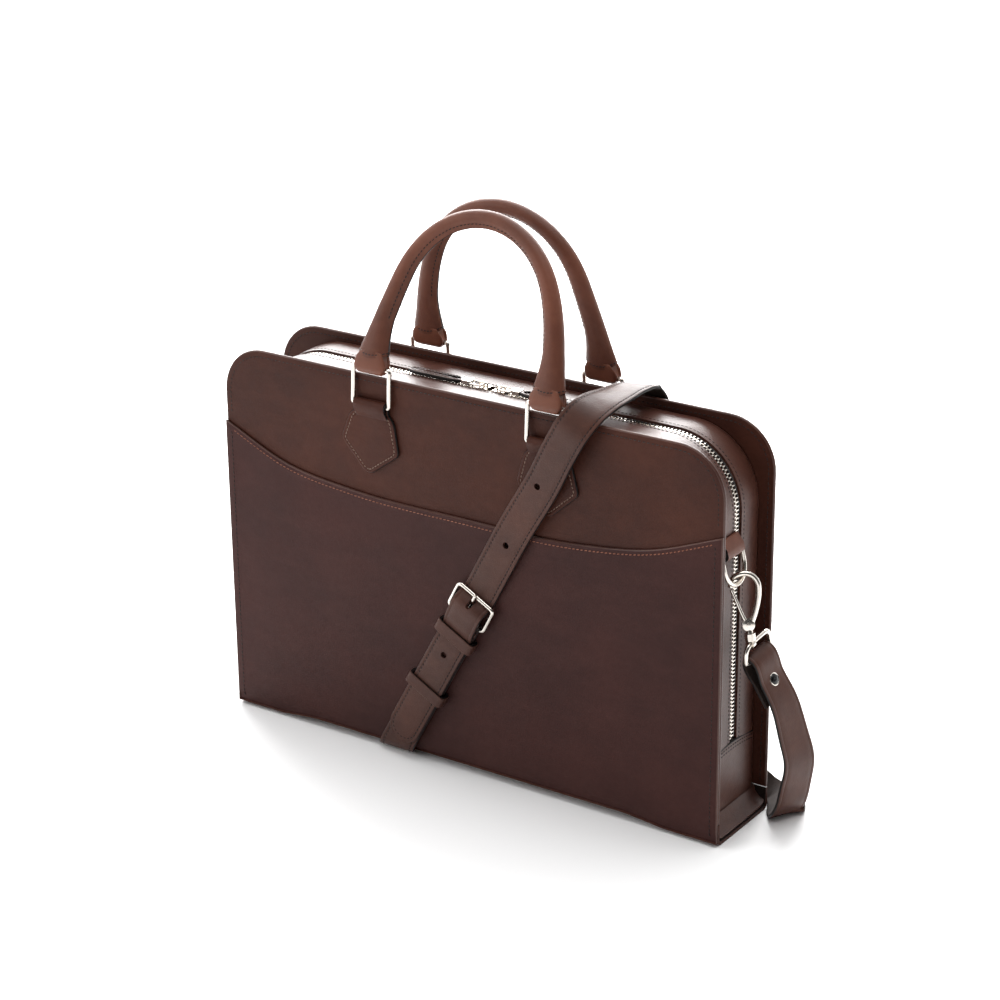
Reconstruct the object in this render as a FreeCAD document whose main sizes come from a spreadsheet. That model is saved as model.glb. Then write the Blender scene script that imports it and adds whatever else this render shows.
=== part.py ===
"""Slim leather briefcase with two rolled handles, a two-way zip and a detachable shoulder strap.

Frame: millimetres, +X to the right along the front, +Y to the back, +Z up. The pieces are
drawn round the middle of the bag's own width and depth, on the surface that it stands on.
At the end they all move together, so that the origin is the middle of the whole footprint,
with the shoulder strap.
"""
import FreeCAD, Part
import Sketcher
import math
import os

V = FreeCAD.Vector
DOC = FreeCAD.newDocument("briefcase")
SHEET = DOC.addObject("Spreadsheet::Sheet", "sizes")
NODES = []

SIZES = [
    ("bag_width", 400), ("bag_height", 275), ("bag_depth", 66),
    ("panel_thick", 2.4), ("pocket_thick", 2), ("leather", 1.8), ("lining", 0.6),
    ("corner_radius", 34), ("fold_radius", 5), ("fold_top", 16), ("base_lift", 3),
    ("foot_length", 40), ("bow_length", 30), ("body_gap", 0.3),
    ("side_inset", 11), ("top_inset", 7), ("gusset_radius", 48), ("flange", 10),
    ("lower_gusset_top", 55), ("zip_line", 4), ("tape_slot", 4.5), ("tape_width", 12),
    ("tape_thick", 0.8), ("chain_width", 2.9), ("chain_thick", 2.2),
    ("handle_spacing", 140), ("handle_rise", 108),
    ("front_lean", 17.5),
    ("rear_lean", 5),
    ("front_offset", -1),
    ("rear_offset", -2.5), ("handle_radius", 6.5), ("core_radius", 4.3),
    ("ring_wire", 1.6), ("ring_span", 29.6), ("ring_height", 26), ("ring_base", 255),
    ("tab_leather", 1.6), ("running_gap", 0.1),
    ("strap_width", 25.4), ("strap_thick", 2.4), ("hole_radius", 2.4),
    ("clip_wire", 1.5), ("hook_wire", 1.7), ("tab_width", 21),
    ("board_thick", 2), ("slider_offset", 7), ("pull_width", 9),
    ("footprint_x", 5.1), ("footprint_y", 14.6),
]


def fill_sheet():
    for row, (alias, value) in enumerate(SIZES, start=1):
        SHEET.set(f"A{row}", alias)
        SHEET.set(f"B{row}", str(value))
        SHEET.setAlias(f"B{row}", alias)
    DOC.recompute()


def size(alias):
    return float(SHEET.get(alias))


def evaluate(expression):
    """Value of an expression on the sheet, to draw an outline at its real size."""
    return float(SHEET.evalExpression(expression))


fill_sheet()
HALF_WIDTH = size("bag_width") / 2
HALF_DEPTH = size("bag_depth") / 2
HEIGHT = size("bag_height")
PANEL = size("panel_thick")
LEATHER = size("leather")
GAP = size("body_gap")
RUN = size("running_gap")
ZIP_Y = size("zip_line")
HANDLE_X = size("handle_spacing") / 2
STRAP_W = size("strap_width")
STRAP_T = size("strap_thick")
GUSSET_X = HALF_WIDTH - size("side_inset")
GUSSET_TOP = HEIGHT - size("top_inset")


# ---------------------------------------------------------------- helpers
def keep(obj, name):
    """Registers an object as one of the pieces that are written out."""
    obj.Label = name
    NODES.append(obj)
    return obj


def feature(name, shape):
    obj = DOC.addObject("Part::Feature", name)
    obj.Shape = shape
    return keep(obj, name)


def unit(vector):
    result = V(vector)
    result.normalize()
    return result


def fuse(shapes):
    joined = shapes[0].multiFuse(shapes[1:]) if len(shapes) > 1 else shapes[0]
    return joined.removeSplitter()


def rod(points, radius, bend, closed=False):
    """Round wire along straight runs, with a tangent elbow at each corner.

    The bend is one radius for all the corners, or a list with one radius for each point.
    """
    count = len(points)
    bends = bend if isinstance(bend, list) else [bend] * count
    inner = range(count) if closed else range(1, count - 1)
    starts = {}
    ends = {}
    pieces = []
    for index in inner:
        before = unit(points[index] - points[index - 1])
        after = unit(points[(index + 1) % count] - points[index])
        turn = before.getAngle(after)
        setback = bends[index] * math.tan(turn / 2)
        start = points[index] - before * setback
        end = points[index] + after * setback
        axis = unit(before.cross(after))
        centre = start + axis.cross(before) * bends[index]
        disc = Part.Face(Part.Wire(Part.makeCircle(radius, start, before)))
        pieces.append(disc.revolve(centre, axis, math.degrees(turn)))
        ends[index] = start
        starts[index] = end
    for index in range(count if closed else count - 1):
        following = (index + 1) % count
        start = starts.get(index, points[index])
        end = ends.get(following, points[following])
        run = end - start
        if run.Length > 1e-4:
            pieces.append(Part.makeCylinder(radius, run.Length, start, run))
    return fuse(pieces)


def tube(start, end, outer, inner):
    along = end - start
    solid = Part.makeCylinder(outer, along.Length, start, along)
    return solid.cut(Part.makeCylinder(inner, along.Length, start, along))


def slab(corner, across, along, up):
    """Solid with three edge vectors from one corner."""
    points = [corner, corner + across, corner + across + along, corner + along, corner]
    return Part.Face(Part.makePolygon(points)).extrude(up)


def ribbon(stations, width, thick):
    """Flat strap through (centre, across) stations, as ruled spans between its sections."""
    centres = [V(*centre) for centre, across in stations]
    sections = []
    for index, (centre, across) in enumerate(stations):
        ahead = centres[min(index + 1, len(centres) - 1)]
        behind = centres[max(index - 1, 0)]
        across = unit(V(*across))
        normal = unit(across.cross(ahead - behind))
        middle = V(*centre)
        half = across * (width / 2)
        rise = normal * (thick / 2)
        corners = [middle - half - rise, middle + half - rise,
                   middle + half + rise, middle - half + rise, middle - half - rise]
        sections.append(Part.makePolygon(corners))
    return Part.makeLoft(sections, True, True)


def mirrored_x(shape):
    return shape.mirror(V(0, 0, 0), V(1, 0, 0))


def mirrored_y(shape):
    return shape.mirror(V(0, 0, 0), V(0, 1, 0))


# ---------------------------------------------------------------- sketched shell pieces
def origin_plane(body, role):
    return next(item for item in body.Origin.OriginFeatures if item.Role == role)


def new_sketch(body, name, offset):
    """Sketch in a plane that faces the front, offset towards the front by an expression."""
    sketch = body.newObject("Sketcher::SketchObject", name)
    sketch.AttachmentSupport = [(origin_plane(body, "XZ_Plane"), "")]
    sketch.MapMode = "FlatFace"
    sketch.setExpression("AttachmentOffset.Base.z", offset)
    return sketch


def arch_outline(sketch, half_width, bottom, top, radius):
    """Closed outline with a flat bottom, straight sides and two rounded top corners.

    The four sizes are expressions on the sheet.
    """
    w, b, t, r = (evaluate(text) for text in (half_width, bottom, top, radius))
    points = [V(-w, b), V(w, b), V(w, t - r), V(w - r, t), V(r - w, t), V(-w, t - r)]
    line = Part.LineSegment
    right = Part.ArcOfCircle(Part.Circle(V(w - r, t - r), V(0, 0, 1), r), 0, math.pi / 2)
    left = Part.ArcOfCircle(Part.Circle(V(r - w, t - r), V(0, 0, 1), r), math.pi / 2, math.pi)
    sketch.addGeometry([line(points[0], points[1]), line(points[1], points[2]), right,
                        line(points[3], points[4]), left, line(points[5], points[0])], False)
    constraint = sketch.addConstraint
    rule = Sketcher.Constraint
    constraint(rule("Coincident", 0, 2, 1, 1))
    constraint(rule("Tangent", 1, 2, 2, 1))
    constraint(rule("Tangent", 2, 2, 3, 1))
    constraint(rule("Tangent", 3, 2, 4, 1))
    constraint(rule("Tangent", 4, 2, 5, 1))
    constraint(rule("Coincident", 5, 2, 0, 1))
    constraint(rule("Horizontal", 0))
    constraint(rule("Horizontal", 3))
    constraint(rule("Vertical", 1))
    constraint(rule("Vertical", 5))
    constraint(rule("Equal", 2, 4))
    bound = [(rule("DistanceX", -1, 1, 0, 2, w), half_width),
             (rule("DistanceX", 0, 1, -1, 1, w), half_width),
             (rule("DistanceY", -1, 1, 0, 1, b), bottom),
             (rule("DistanceY", -1, 1, 3, 1, t), top),
             (rule("Radius", 2, r), radius)]
    for item, expression in bound:
        index = constraint(item)
        sketch.setExpression(f"Constraints[{index}]", expression)


def arch_pad(name, face, depth, outline):
    """Body whose first pad is an arch outline, from y = -face back by depth (expressions)."""
    body = DOC.addObject("PartDesign::Body", name)
    sketch = new_sketch(body, name + "_outline", face)
    arch_outline(sketch, *outline)
    pad = body.newObject("PartDesign::Pad", name + "_pad")
    pad.Profile = sketch
    pad.Reversed = True
    pad.setExpression("Length", depth)
    DOC.recompute()
    return keep(body, name)


def arch_pocket(body, label, face, depth, outline):
    """Cuts an arch outline out of a body, from y = -face back by depth."""
    before = body.Shape.Volume
    sketch = new_sketch(body, label + "_outline", face)
    arch_outline(sketch, *outline)
    pocket = body.newObject("PartDesign::Pocket", label)
    pocket.Profile = sketch
    pocket.setExpression("Length", depth)
    DOC.recompute()
    if not body.Shape.Volume < before - 1:
        raise RuntimeError(label + " removed nothing")


PANEL_OUTLINE = ("sizes.bag_width / 2", "sizes.fold_top + sizes.body_gap", "sizes.bag_height",
                 "sizes.corner_radius")
LINING_OUTLINE = ("sizes.bag_width / 2 - sizes.side_inset - sizes.flange",
                  "sizes.fold_top + sizes.flange",
                  "sizes.bag_height - sizes.top_inset - sizes.flange",
                  "sizes.gusset_radius - sizes.flange")
OUTER_BAND = ("sizes.bag_width / 2 - sizes.side_inset", "sizes.lower_gusset_top + sizes.body_gap",
              "sizes.bag_height - sizes.top_inset", "sizes.gusset_radius")


def band_outline(inset, bottom="sizes.lower_gusset_top"):
    """The gusset's outline, moved inwards by an expression."""
    return ("sizes.bag_width / 2 - sizes.side_inset - " + inset, bottom,
            "sizes.bag_height - sizes.top_inset - " + inset, "sizes.gusset_radius - " + inset)


def make_panels():
    arch_pad("front_panel", "sizes.bag_depth / 2", "sizes.panel_thick", PANEL_OUTLINE)
    arch_pad("back_panel", "sizes.panel_thick - sizes.bag_depth / 2", "sizes.panel_thick",
             PANEL_OUTLINE)
    arch_pad("front_lining", "sizes.bag_depth / 2 - sizes.panel_thick", "sizes.lining",
             LINING_OUTLINE)
    arch_pad("back_lining", "sizes.panel_thick + sizes.lining - sizes.bag_depth / 2",
             "sizes.lining", LINING_OUTLINE)


def make_front_pocket():
    """Slip pocket over the front panel; its lip dips in the middle and rises to both sides."""
    bottom = size("fold_top") + GAP
    lip_low = 188.5
    lip_high = 219
    lip = [V(-HALF_WIDTH, 0, lip_high), V(-146, 0, 197), V(-92, 0, 189.8), V(0, 0, lip_low),
           V(92, 0, 190.6), V(146, 0, 199), V(HALF_WIDTH, 0, lip_high)]
    curve = Part.BSplineCurve()
    curve.interpolate(lip)
    corners = [V(HALF_WIDTH, 0, lip_high), V(HALF_WIDTH, 0, bottom), V(-HALF_WIDTH, 0, bottom),
               V(-HALF_WIDTH, 0, lip_high)]
    edges = [curve.toShape()] + [Part.LineSegment(a, b).toShape()
                                 for a, b in zip(corners, corners[1:])]
    outline = Part.Wire(Part.__sortEdges__(edges))
    solid = Part.Face(outline).extrude(V(0, -size("pocket_thick"), 0))
    feature("front_pocket", solid.translated(V(0, -HALF_DEPTH, 0)))


def make_inner_pocket():
    """Slip pocket sewn on the back lining."""
    box = DOC.addObject("Part::Box", "inner_pocket_box")
    box.setExpression("Length", "sizes.bag_width - 120")
    box.setExpression("Width", "sizes.lining * 2")
    box.setExpression("Height", "sizes.bag_height - 115")
    box.setExpression("Placement.Base.x", "60 - sizes.bag_width / 2")
    box.setExpression("Placement.Base.y",
                      "sizes.bag_depth / 2 - sizes.panel_thick - sizes.lining * 3")
    box.setExpression("Placement.Base.z", "sizes.fold_top + 24")
    keep(box, "inner_pocket")


def make_gussets():
    """Inset gusset strips each side of the zip, with a flange sewn to the panel."""
    slot = "sizes.tape_slot"
    front = arch_pad("front_gusset", "sizes.bag_depth / 2 - sizes.panel_thick",
                     "sizes.bag_depth / 2 - sizes.panel_thick + sizes.zip_line - " + slot,
                     OUTER_BAND)
    arch_pocket(front, "front_gusset_hollow", "sizes.bag_depth / 2 - sizes.panel_thick "
                "- sizes.leather", "sizes.bag_depth", band_outline("sizes.leather"))
    arch_pocket(front, "front_gusset_flange", "sizes.bag_depth / 2", "sizes.bag_depth",
                band_outline("sizes.flange"))
    rear = arch_pad("rear_gusset", "0 - sizes.zip_line - " + slot,
                    "sizes.bag_depth / 2 - sizes.panel_thick - sizes.zip_line - " + slot,
                    OUTER_BAND)
    arch_pocket(rear, "rear_gusset_hollow", "0 - sizes.zip_line - " + slot,
                "sizes.bag_depth / 2 - sizes.panel_thick - sizes.leather - sizes.zip_line - "
                + slot, band_outline("sizes.leather"))
    arch_pocket(rear, "rear_gusset_flange", "0", "sizes.bag_depth", band_outline("sizes.flange"))


def band_solid(inset, thick, near, far):
    """Thin band that follows the gusset, inset from it, from y = near to y = far."""
    def arch(offset):
        w = GUSSET_X - offset
        top = GUSSET_TOP - offset
        r = size("gusset_radius") - offset
        bottom = size("lower_gusset_top") + GAP
        slant = r * math.sqrt(0.5)
        line = Part.LineSegment
        edges = [line(V(-w, 0, bottom), V(-w, 0, top - r)),
                 Part.Arc(V(-w, 0, top - r), V(r - w - slant, 0, top - r + slant),
                          V(r - w, 0, top)),
                 line(V(r - w, 0, top), V(w - r, 0, top)),
                 Part.Arc(V(w - r, 0, top), V(w - r + slant, 0, top - r + slant),
                          V(w, 0, top - r)),
                 line(V(w, 0, top - r), V(w, 0, bottom)),
                 line(V(w, 0, bottom), V(-w, 0, bottom))]
        return Part.Face(Part.Wire([edge.toShape() for edge in edges]))
    ring = arch(inset).cut(arch(inset + thick))
    return ring.extrude(V(0, far - near, 0)).translated(V(0, near, 0))


def make_zip():
    """Tapes under the gusset edges and one row of teeth on each tape edge."""
    half_gap = GAP / 2
    tape_inset = LEATHER
    chain_inset = LEATHER + (size("tape_thick") - size("chain_thick")) / 2
    width = size("tape_width")
    chain = size("chain_width")
    front_tape = band_solid(tape_inset, size("tape_thick"), ZIP_Y - width, ZIP_Y - chain)
    rear_tape = band_solid(tape_inset, size("tape_thick"), ZIP_Y + chain, ZIP_Y + width)
    feature("zip_tape_front", front_tape)
    feature("zip_tape_rear", rear_tape)
    front_row = band_solid(chain_inset, size("chain_thick"), ZIP_Y - chain, ZIP_Y - half_gap)
    rear_row = band_solid(chain_inset, size("chain_thick"), ZIP_Y + half_gap, ZIP_Y + chain)
    feature("zip_teeth_front", front_row)
    feature("zip_teeth_rear", rear_row)


def make_lower_gussets():
    """One-piece gusset ends below the zip, with flanges against both panels."""
    inner = HALF_DEPTH - PANEL - GAP
    bottom = size("panel_thick") + size("base_lift") + size("board_thick") + 2.5
    height = size("lower_gusset_top") - bottom
    wall = Part.makeBox(LEATHER, 2 * inner, height, V(GUSSET_X - LEATHER, -inner, bottom))
    depth = size("flange") - GAP
    flange = Part.makeBox(depth, LEATHER, height, V(GUSSET_X - depth, -inner, bottom))
    gusset = fuse([wall, flange, mirrored_y(flange)])
    feature("lower_gusset_right", gusset)
    feature("lower_gusset_left", mirrored_x(gusset))


def fold_section(x, lift):
    """Section of the base: a sheet that turns up at the front and the back."""
    radius = size("fold_radius")
    top = size("fold_top")
    outer_y = HALF_DEPTH

    def half_path(side, inset):
        r = radius - inset
        centre_y = side * (outer_y - radius)
        centre_z = lift + radius
        slant = r * math.sqrt(0.5)
        return [V(x, centre_y + side * r, top), V(x, centre_y + side * r, centre_z),
                V(x, centre_y + side * slant, centre_z - slant), V(x, centre_y, centre_z - r)]
    edges = []
    corners = []
    for inset in (0, PANEL):
        a = half_path(-1, inset)
        b = half_path(1, inset)
        corners.append((a[0], b[0]))
        edges += [Part.LineSegment(a[0], a[1]), Part.Arc(a[1], a[2], a[3]),
                  Part.LineSegment(a[3], b[3]), Part.Arc(b[3], b[2], b[1]),
                  Part.LineSegment(b[1], b[0])]
    edges += [Part.LineSegment(corners[0][0], corners[1][0]),
              Part.LineSegment(corners[0][1], corners[1][1])]
    return Part.Wire(Part.__sortEdges__([edge.toShape() for edge in edges]))


def make_base():
    """Base that stands on its two ends and bows up between them, and its stiffening board."""
    lift = size("base_lift")
    foot = HALF_WIDTH - size("foot_length")
    bow = foot - size("bow_length")
    levels = [(-HALF_WIDTH, 0), (-foot, 0), (-bow, lift), (bow, lift), (foot, 0), (HALF_WIDTH, 0)]
    sections = [fold_section(x, z) for x, z in levels]
    spans = [Part.makeLoft([a, b], True, True) for a, b in zip(sections, sections[1:])]
    feature("base_wrap", fuse(spans))
    board = DOC.addObject("Part::Box", "base_board_box")
    board.setExpression("Length", "sizes.bag_width - 2 * sizes.side_inset - 8")
    board.setExpression("Width", "sizes.bag_depth - 2 * sizes.fold_radius - 4")
    board.setExpression("Height", "sizes.board_thick")
    board.setExpression("Placement.Base.x", "sizes.side_inset + 4 - sizes.bag_width / 2")
    board.setExpression("Placement.Base.y", "sizes.fold_radius + 2 - sizes.bag_depth / 2")
    board.setExpression("Placement.Base.z", "sizes.panel_thick + sizes.base_lift")
    keep(board, "base_board")


# ---------------------------------------------------------------- handles
HANDLE_FOOT = 16


def loop_tab(plate_points, loop_half, loop_height, wire):
    """Leather tab on the plane y = 0 that folds round a bar along X, standing off to -Y."""
    leather = size("tab_leather")
    stand_off = leather + wire + RUN
    outline = Part.makePolygon([V(x, 0, z) for x, z in plate_points + plate_points[:1]])
    plate = Part.Face(outline).extrude(V(0, -leather, 0))
    start = V(-loop_half, -stand_off, loop_height)
    end = V(loop_half, -stand_off, loop_height)
    fold = tube(start, end, stand_off, wire + RUN)
    return fuse([plate, fold]), stand_off


def chape_shape():
    """Pointed tab that holds a handle ring; its plate is a five-sided shield."""
    height = size("ring_base")
    neck = 12.4
    points = [(-neck, height), (-17.4, height - 6), (-24, height - 31), (0, height - 51),
              (24, height - 31), (17.4, height - 6), (neck, height)]
    tab, stand_off = loop_tab(points, neck, height, size("ring_wire"))
    return tab.translated(V(0, -HALF_DEPTH, 0)), HALF_DEPTH + stand_off


def handle_lean():
    """Places of the ring's two bars in the YZ plane."""
    bar_y = chape_shape()[1]
    low = V(0, -bar_y, size("ring_base"))
    high = V(0, 1.5 - bar_y, size("ring_base") + size("ring_height"))
    return low, high


def ring_shape():
    low, high = handle_lean()
    half = V(size("ring_span") / 2, 0, 0)
    points = [low - half, low + half, high + half, high - half]
    return rod(points, size("ring_wire"), 1.7, closed=True)


def half_arch(radius):
    """Right half of a round arch: straight leg, wide side arc and tighter top arc."""
    rise = size("handle_rise")
    side_radius = 110
    turn = 25
    slope = math.radians(turn)
    top_radius = (HANDLE_X - side_radius * (1 - math.cos(slope))) / math.cos(slope)
    leg_top = rise - top_radius * (1 - math.sin(slope)) - side_radius * math.sin(slope)
    leg = Part.makeCylinder(radius, leg_top - HANDLE_FOOT, V(HANDLE_X, 0, HANDLE_FOOT), V(0, 0, 1))
    side_disc = Part.Face(Part.Wire(Part.makeCircle(radius, V(HANDLE_X, 0, leg_top), V(0, 0, 1))))
    side = side_disc.revolve(V(HANDLE_X - side_radius, 0, leg_top), V(0, -1, 0), turn)
    top_disc = Part.Face(Part.Wire(Part.makeCircle(radius, V(0, 0, rise), V(1, 0, 0))))
    top = top_disc.revolve(V(0, 0, rise - top_radius), V(0, 1, 0), 90 - turn)
    return fuse([leg, side, top])


def handle_shapes():
    """Rolled leather grip with flattened ends folded round the ring bars, and its cord core.

    Local frame: the ring bar lies along X through the origin, the handle stands along +Z.
    """
    grip_radius = size("handle_radius")

    def arch(radius):
        half = half_arch(radius)
        return fuse([half, mirrored_x(half)])

    def flattened(height, half_wide, half_thick):
        corners = [V(HANDLE_X + x * half_wide, y * half_thick, height)
                   for x, y in ((-1, -1), (1, -1), (1, 1), (-1, 1), (-1, -1))]
        return Part.makePolygon(corners)
    leaf = Part.makeLoft([flattened(2.6, 13.1, 2.4), flattened(10, 10, 4),
                          flattened(HANDLE_FOOT + 6, 4, 3.6)], True, True)
    wire = size("ring_wire")
    fold = tube(V(HANDLE_X - 13.1, 0, 0), V(HANDLE_X + 13.1, 0, 0), wire + RUN + 2, wire + RUN)
    clearance = Part.makeCylinder(wire + RUN, 40, V(HANDLE_X - 20, 0, 0), V(1, 0, 0))
    end = leaf.fuse(fold).cut(clearance)
    core = arch(size("core_radius"))
    grip = fuse([arch(grip_radius), end, mirrored_x(end)]).cut(core)
    return grip, core


def make_handles():
    chape = chape_shape()[0]
    ring = ring_shape()
    grip, core = handle_shapes()
    high = handle_lean()[1]
    sides = (("left", -HANDLE_X), ("right", HANDLE_X))
    for prefix, flip in (("front", False), ("rear", True)):
        offset = V(size(prefix + "_offset"), 0, 0)
        for side, x in sides:
            shapes = ((prefix + "_chape_" + side, chape), (prefix + "_ring_" + side, ring))
            for name, shape in shapes:
                placed = shape.translated(offset + V(x, 0, 0))
                feature(name, mirrored_y(placed) if flip else placed)
        for name, shape in ((prefix + "_handle_grip", grip), (prefix + "_handle_core", core)):
            lean = size(prefix + "_lean")
            stood = shape.rotated(V(0, 0, 0), V(1, 0, 0), -lean).translated(high + offset)
            feature(name, mirrored_y(stood) if flip else stood)


# ---------------------------------------------------------------- zip sliders and pulls
def make_sliders():
    """Two sliders that meet in the middle, each with a link and a leather pull on the zip."""
    mid_z = GUSSET_TOP - LEATHER - size("tape_thick") / 2
    chamber = size("chain_thick") / 2 + 0.2
    headroom = chamber + 0.5
    plate = 1.1
    half_x = 4.6
    half_y = 4.2
    top_z = mid_z + headroom + plate
    for side, sign in (("left", -1), ("right", 1)):
        x = sign * size("slider_offset")
        top = Part.makeBox(2 * half_x, 2 * half_y, plate, V(x - half_x, ZIP_Y - half_y,
                                                            mid_z + headroom))
        bottom = Part.makeBox(2 * half_x, 2 * half_y, plate, V(x - half_x, ZIP_Y - half_y,
                                                               mid_z - chamber - plate))
        bridge_x = x + sign * (half_x - 1)
        post = Part.makeBox(1, 0.2, chamber + headroom + 0.2,
                            V(bridge_x - 0.5, ZIP_Y - 0.1, mid_z - chamber - 0.1))
        arch_points = [V(x - 3.2, ZIP_Y, top_z - 0.3), V(x - 3.2, ZIP_Y, top_z + 2.6),
                       V(x + 3.2, ZIP_Y, top_z + 2.6), V(x + 3.2, ZIP_Y, top_z - 0.3)]
        bridge = rod(arch_points, 0.7, 1.6)
        feature("zip_slider_" + side, fuse([top, bottom, post, bridge]))
        pivot = V(x, ZIP_Y, top_z + 1.05)
        reach = V(sign, 0, 0)
        across = V(0, 1, 0)
        link_points = [pivot - across * 3.3, pivot + across * 3.3,
                       pivot + across * 3.3 + reach * 10, pivot - across * 3.3 + reach * 10]
        link = rod(link_points, 0.75, 1.4, closed=True)
        clip_start = pivot + reach * 9.2
        clip = slab(clip_start + V(0, -3.2, -1.5), reach * 7, across * 6.4, V(0, 0, 3))
        clip = clip.cut(slab(clip_start + V(0, -4, -0.9), reach * 1.51, across * 8,
                             V(0, 0, 1.8)))
        feature("pull_link_" + side, fuse([link, clip]))
        tab_start = clip_start + reach * (7 + 0.05)
        half = size("pull_width") / 2
        tab_points = [tab_start - across * 2.6, tab_start + reach * 7 - across * half,
                      tab_start + reach * 40 - across * half, tab_start + reach * 45 - across * 2,
                      tab_start + reach * 45 + across * 2, tab_start + reach * 40 + across * half,
                      tab_start + reach * 7 + across * half, tab_start + across * 2.6]
        outline = Part.makePolygon(tab_points + tab_points[:1])
        tab = Part.Face(outline).extrude(V(0, 0, 2.4)).translated(V(0, 0, -1.2))
        feature("pull_tab_" + side, tab)


# ---------------------------------------------------------------- side tabs, rings and hooks
TAB_Y = -10
CLIP_PIVOT_Z = 200


def side_tab_shape():
    half = size("tab_width") / 2
    points = [(-half, CLIP_PIVOT_Z), (half, CLIP_PIVOT_Z), (half, CLIP_PIVOT_Z + 9),
              (-half, CLIP_PIVOT_Z + 9)]
    tab, stand_off = loop_tab(points, half, CLIP_PIVOT_Z, size("clip_wire"))
    turned = tab.rotated(V(0, 0, 0), V(0, 0, 1), 90).translated(V(GUSSET_X, TAB_Y, 0))
    return turned, GUSSET_X + stand_off


def side_ring_shape(bar_x):
    """D-shaped ring that hangs from the tab, tipped a little outwards."""
    half = size("tab_width") / 2 + size("clip_wire") + 0.4
    tip = math.radians(14)
    down = V(math.sin(tip), 0, -math.cos(tip))
    across = V(0, 1, 0)
    bar = V(bar_x, TAB_Y, CLIP_PIVOT_Z)
    reach = 22
    points = [bar - across * half, bar + across * half, bar + across * half + down * reach,
              bar - across * half + down * reach]
    corners = [2, 2, half - 0.05, half - 0.05]
    return rod(points, size("clip_wire"), corners, closed=True)


HOOK_PIVOT = V(204.2, -6.7, 150.4)
HOOK_TOP = V(197.9, -5.2, 183.5)
HOOK_FACING = math.radians(35)


def hook_frame():
    up = unit(HOOK_TOP - HOOK_PIVOT)
    level = V(math.cos(HOOK_FACING), math.sin(HOOK_FACING), 0)
    side = unit(level - up * level.dot(up))
    return side, up, side.cross(up)


def hook_point(u, w, n=0.0):
    side, up, normal = hook_frame()
    return HOOK_PIVOT + side * u + up * w + normal * n


def hook_shapes():
    """Cast snap hook: body with a round base, sprung gate, and swivel eye below."""
    side, up, normal = hook_frame()
    wire = size("hook_wire")
    top = (HOOK_TOP - HOOK_PIVOT).Length
    spine = rod([hook_point(1.5, 1), hook_point(8, 14), hook_point(8.6, top - 7.5),
                 hook_point(4.5, top), hook_point(-4.5, top), hook_point(-8, top - 6.8)],
                wire, 3.4)
    base = Part.makeCylinder(4, 2 * wire, HOOK_PIVOT - normal * wire, normal)
    neck = Part.makeCylinder(2.2, 3.4, hook_point(0, -3.6), up * -1)
    gate_room = slab(hook_point(-4.6, -4.6, -0.95), side * 9.2, up * 9.2, normal * 1.9)
    body = fuse([spine, base]).cut(gate_room)
    body = fuse([body, neck])
    gate_tip = hook_point(-7.9, top - 9.9)
    gate_arm = rod([HOOK_PIVOT, hook_point(-4.4, 6), gate_tip], 0.85, 5)
    gate_eye = Part.makeCylinder(3.2, 1.5, HOOK_PIVOT - normal * 0.75, normal)
    gate = fuse([gate_eye, gate_arm]).cut(Part.makeCylinder(1.05, 8, HOOK_PIVOT - normal * 4,
                                                            normal))
    pin = Part.makeCylinder(1, 2 * wire + 1.2, HOOK_PIVOT - normal * (wire + 0.6), normal)
    return fuse([body, pin]), gate


LOOP_BAR = V(206.6, 2.2, 126.6)
LOOP_ACROSS = unit(V(0.04, 0.985, 0.15))


def swivel_shapes():
    """Swivel eye under the hook, and the ring that it carries."""
    up = hook_frame()[1]
    collar = tube(hook_point(0, -5.6), hook_point(0, -9), 3.6, 2.2 + 0.08)
    cap = Part.makeCylinder(3.6, 1.4, hook_point(0, -9), up * -1)
    eye_place = hook_point(0, -12.7)
    half = STRAP_W / 2 + size("clip_wire") + 0.5
    climb = eye_place - LOOP_BAR
    climb -= LOOP_ACROSS * climb.dot(LOOP_ACROSS)
    wide = LOOP_ACROSS * half
    narrow = LOOP_ACROSS * (half - 0.6)
    points = [LOOP_BAR - wide, LOOP_BAR + wide, LOOP_BAR + narrow + climb,
              LOOP_BAR - narrow + climb]
    ring = rod(points, size("clip_wire"), [2, 2, 4, 4], closed=True)
    eye = tube(eye_place - LOOP_ACROSS * 1.5, eye_place + LOOP_ACROSS * 1.5,
               size("clip_wire") + 1.6, size("clip_wire") + 0.05)
    swivel = fuse([collar, cap, eye])
    room = Part.makeCylinder(size("clip_wire") + 0.05, 8, eye_place - LOOP_ACROSS * 4,
                             LOOP_ACROSS)
    return swivel.cut(room), ring


RIGHT_LOOP = [((207.2, 2.4, 123.5), (0.04, 0.985, 0.15)), ((214.5, 6, 110), (0.08, 0.98, 0.1)),
              ((221.4, 9.3, 95), (0.16, 0.98, 0.05))]


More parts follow.
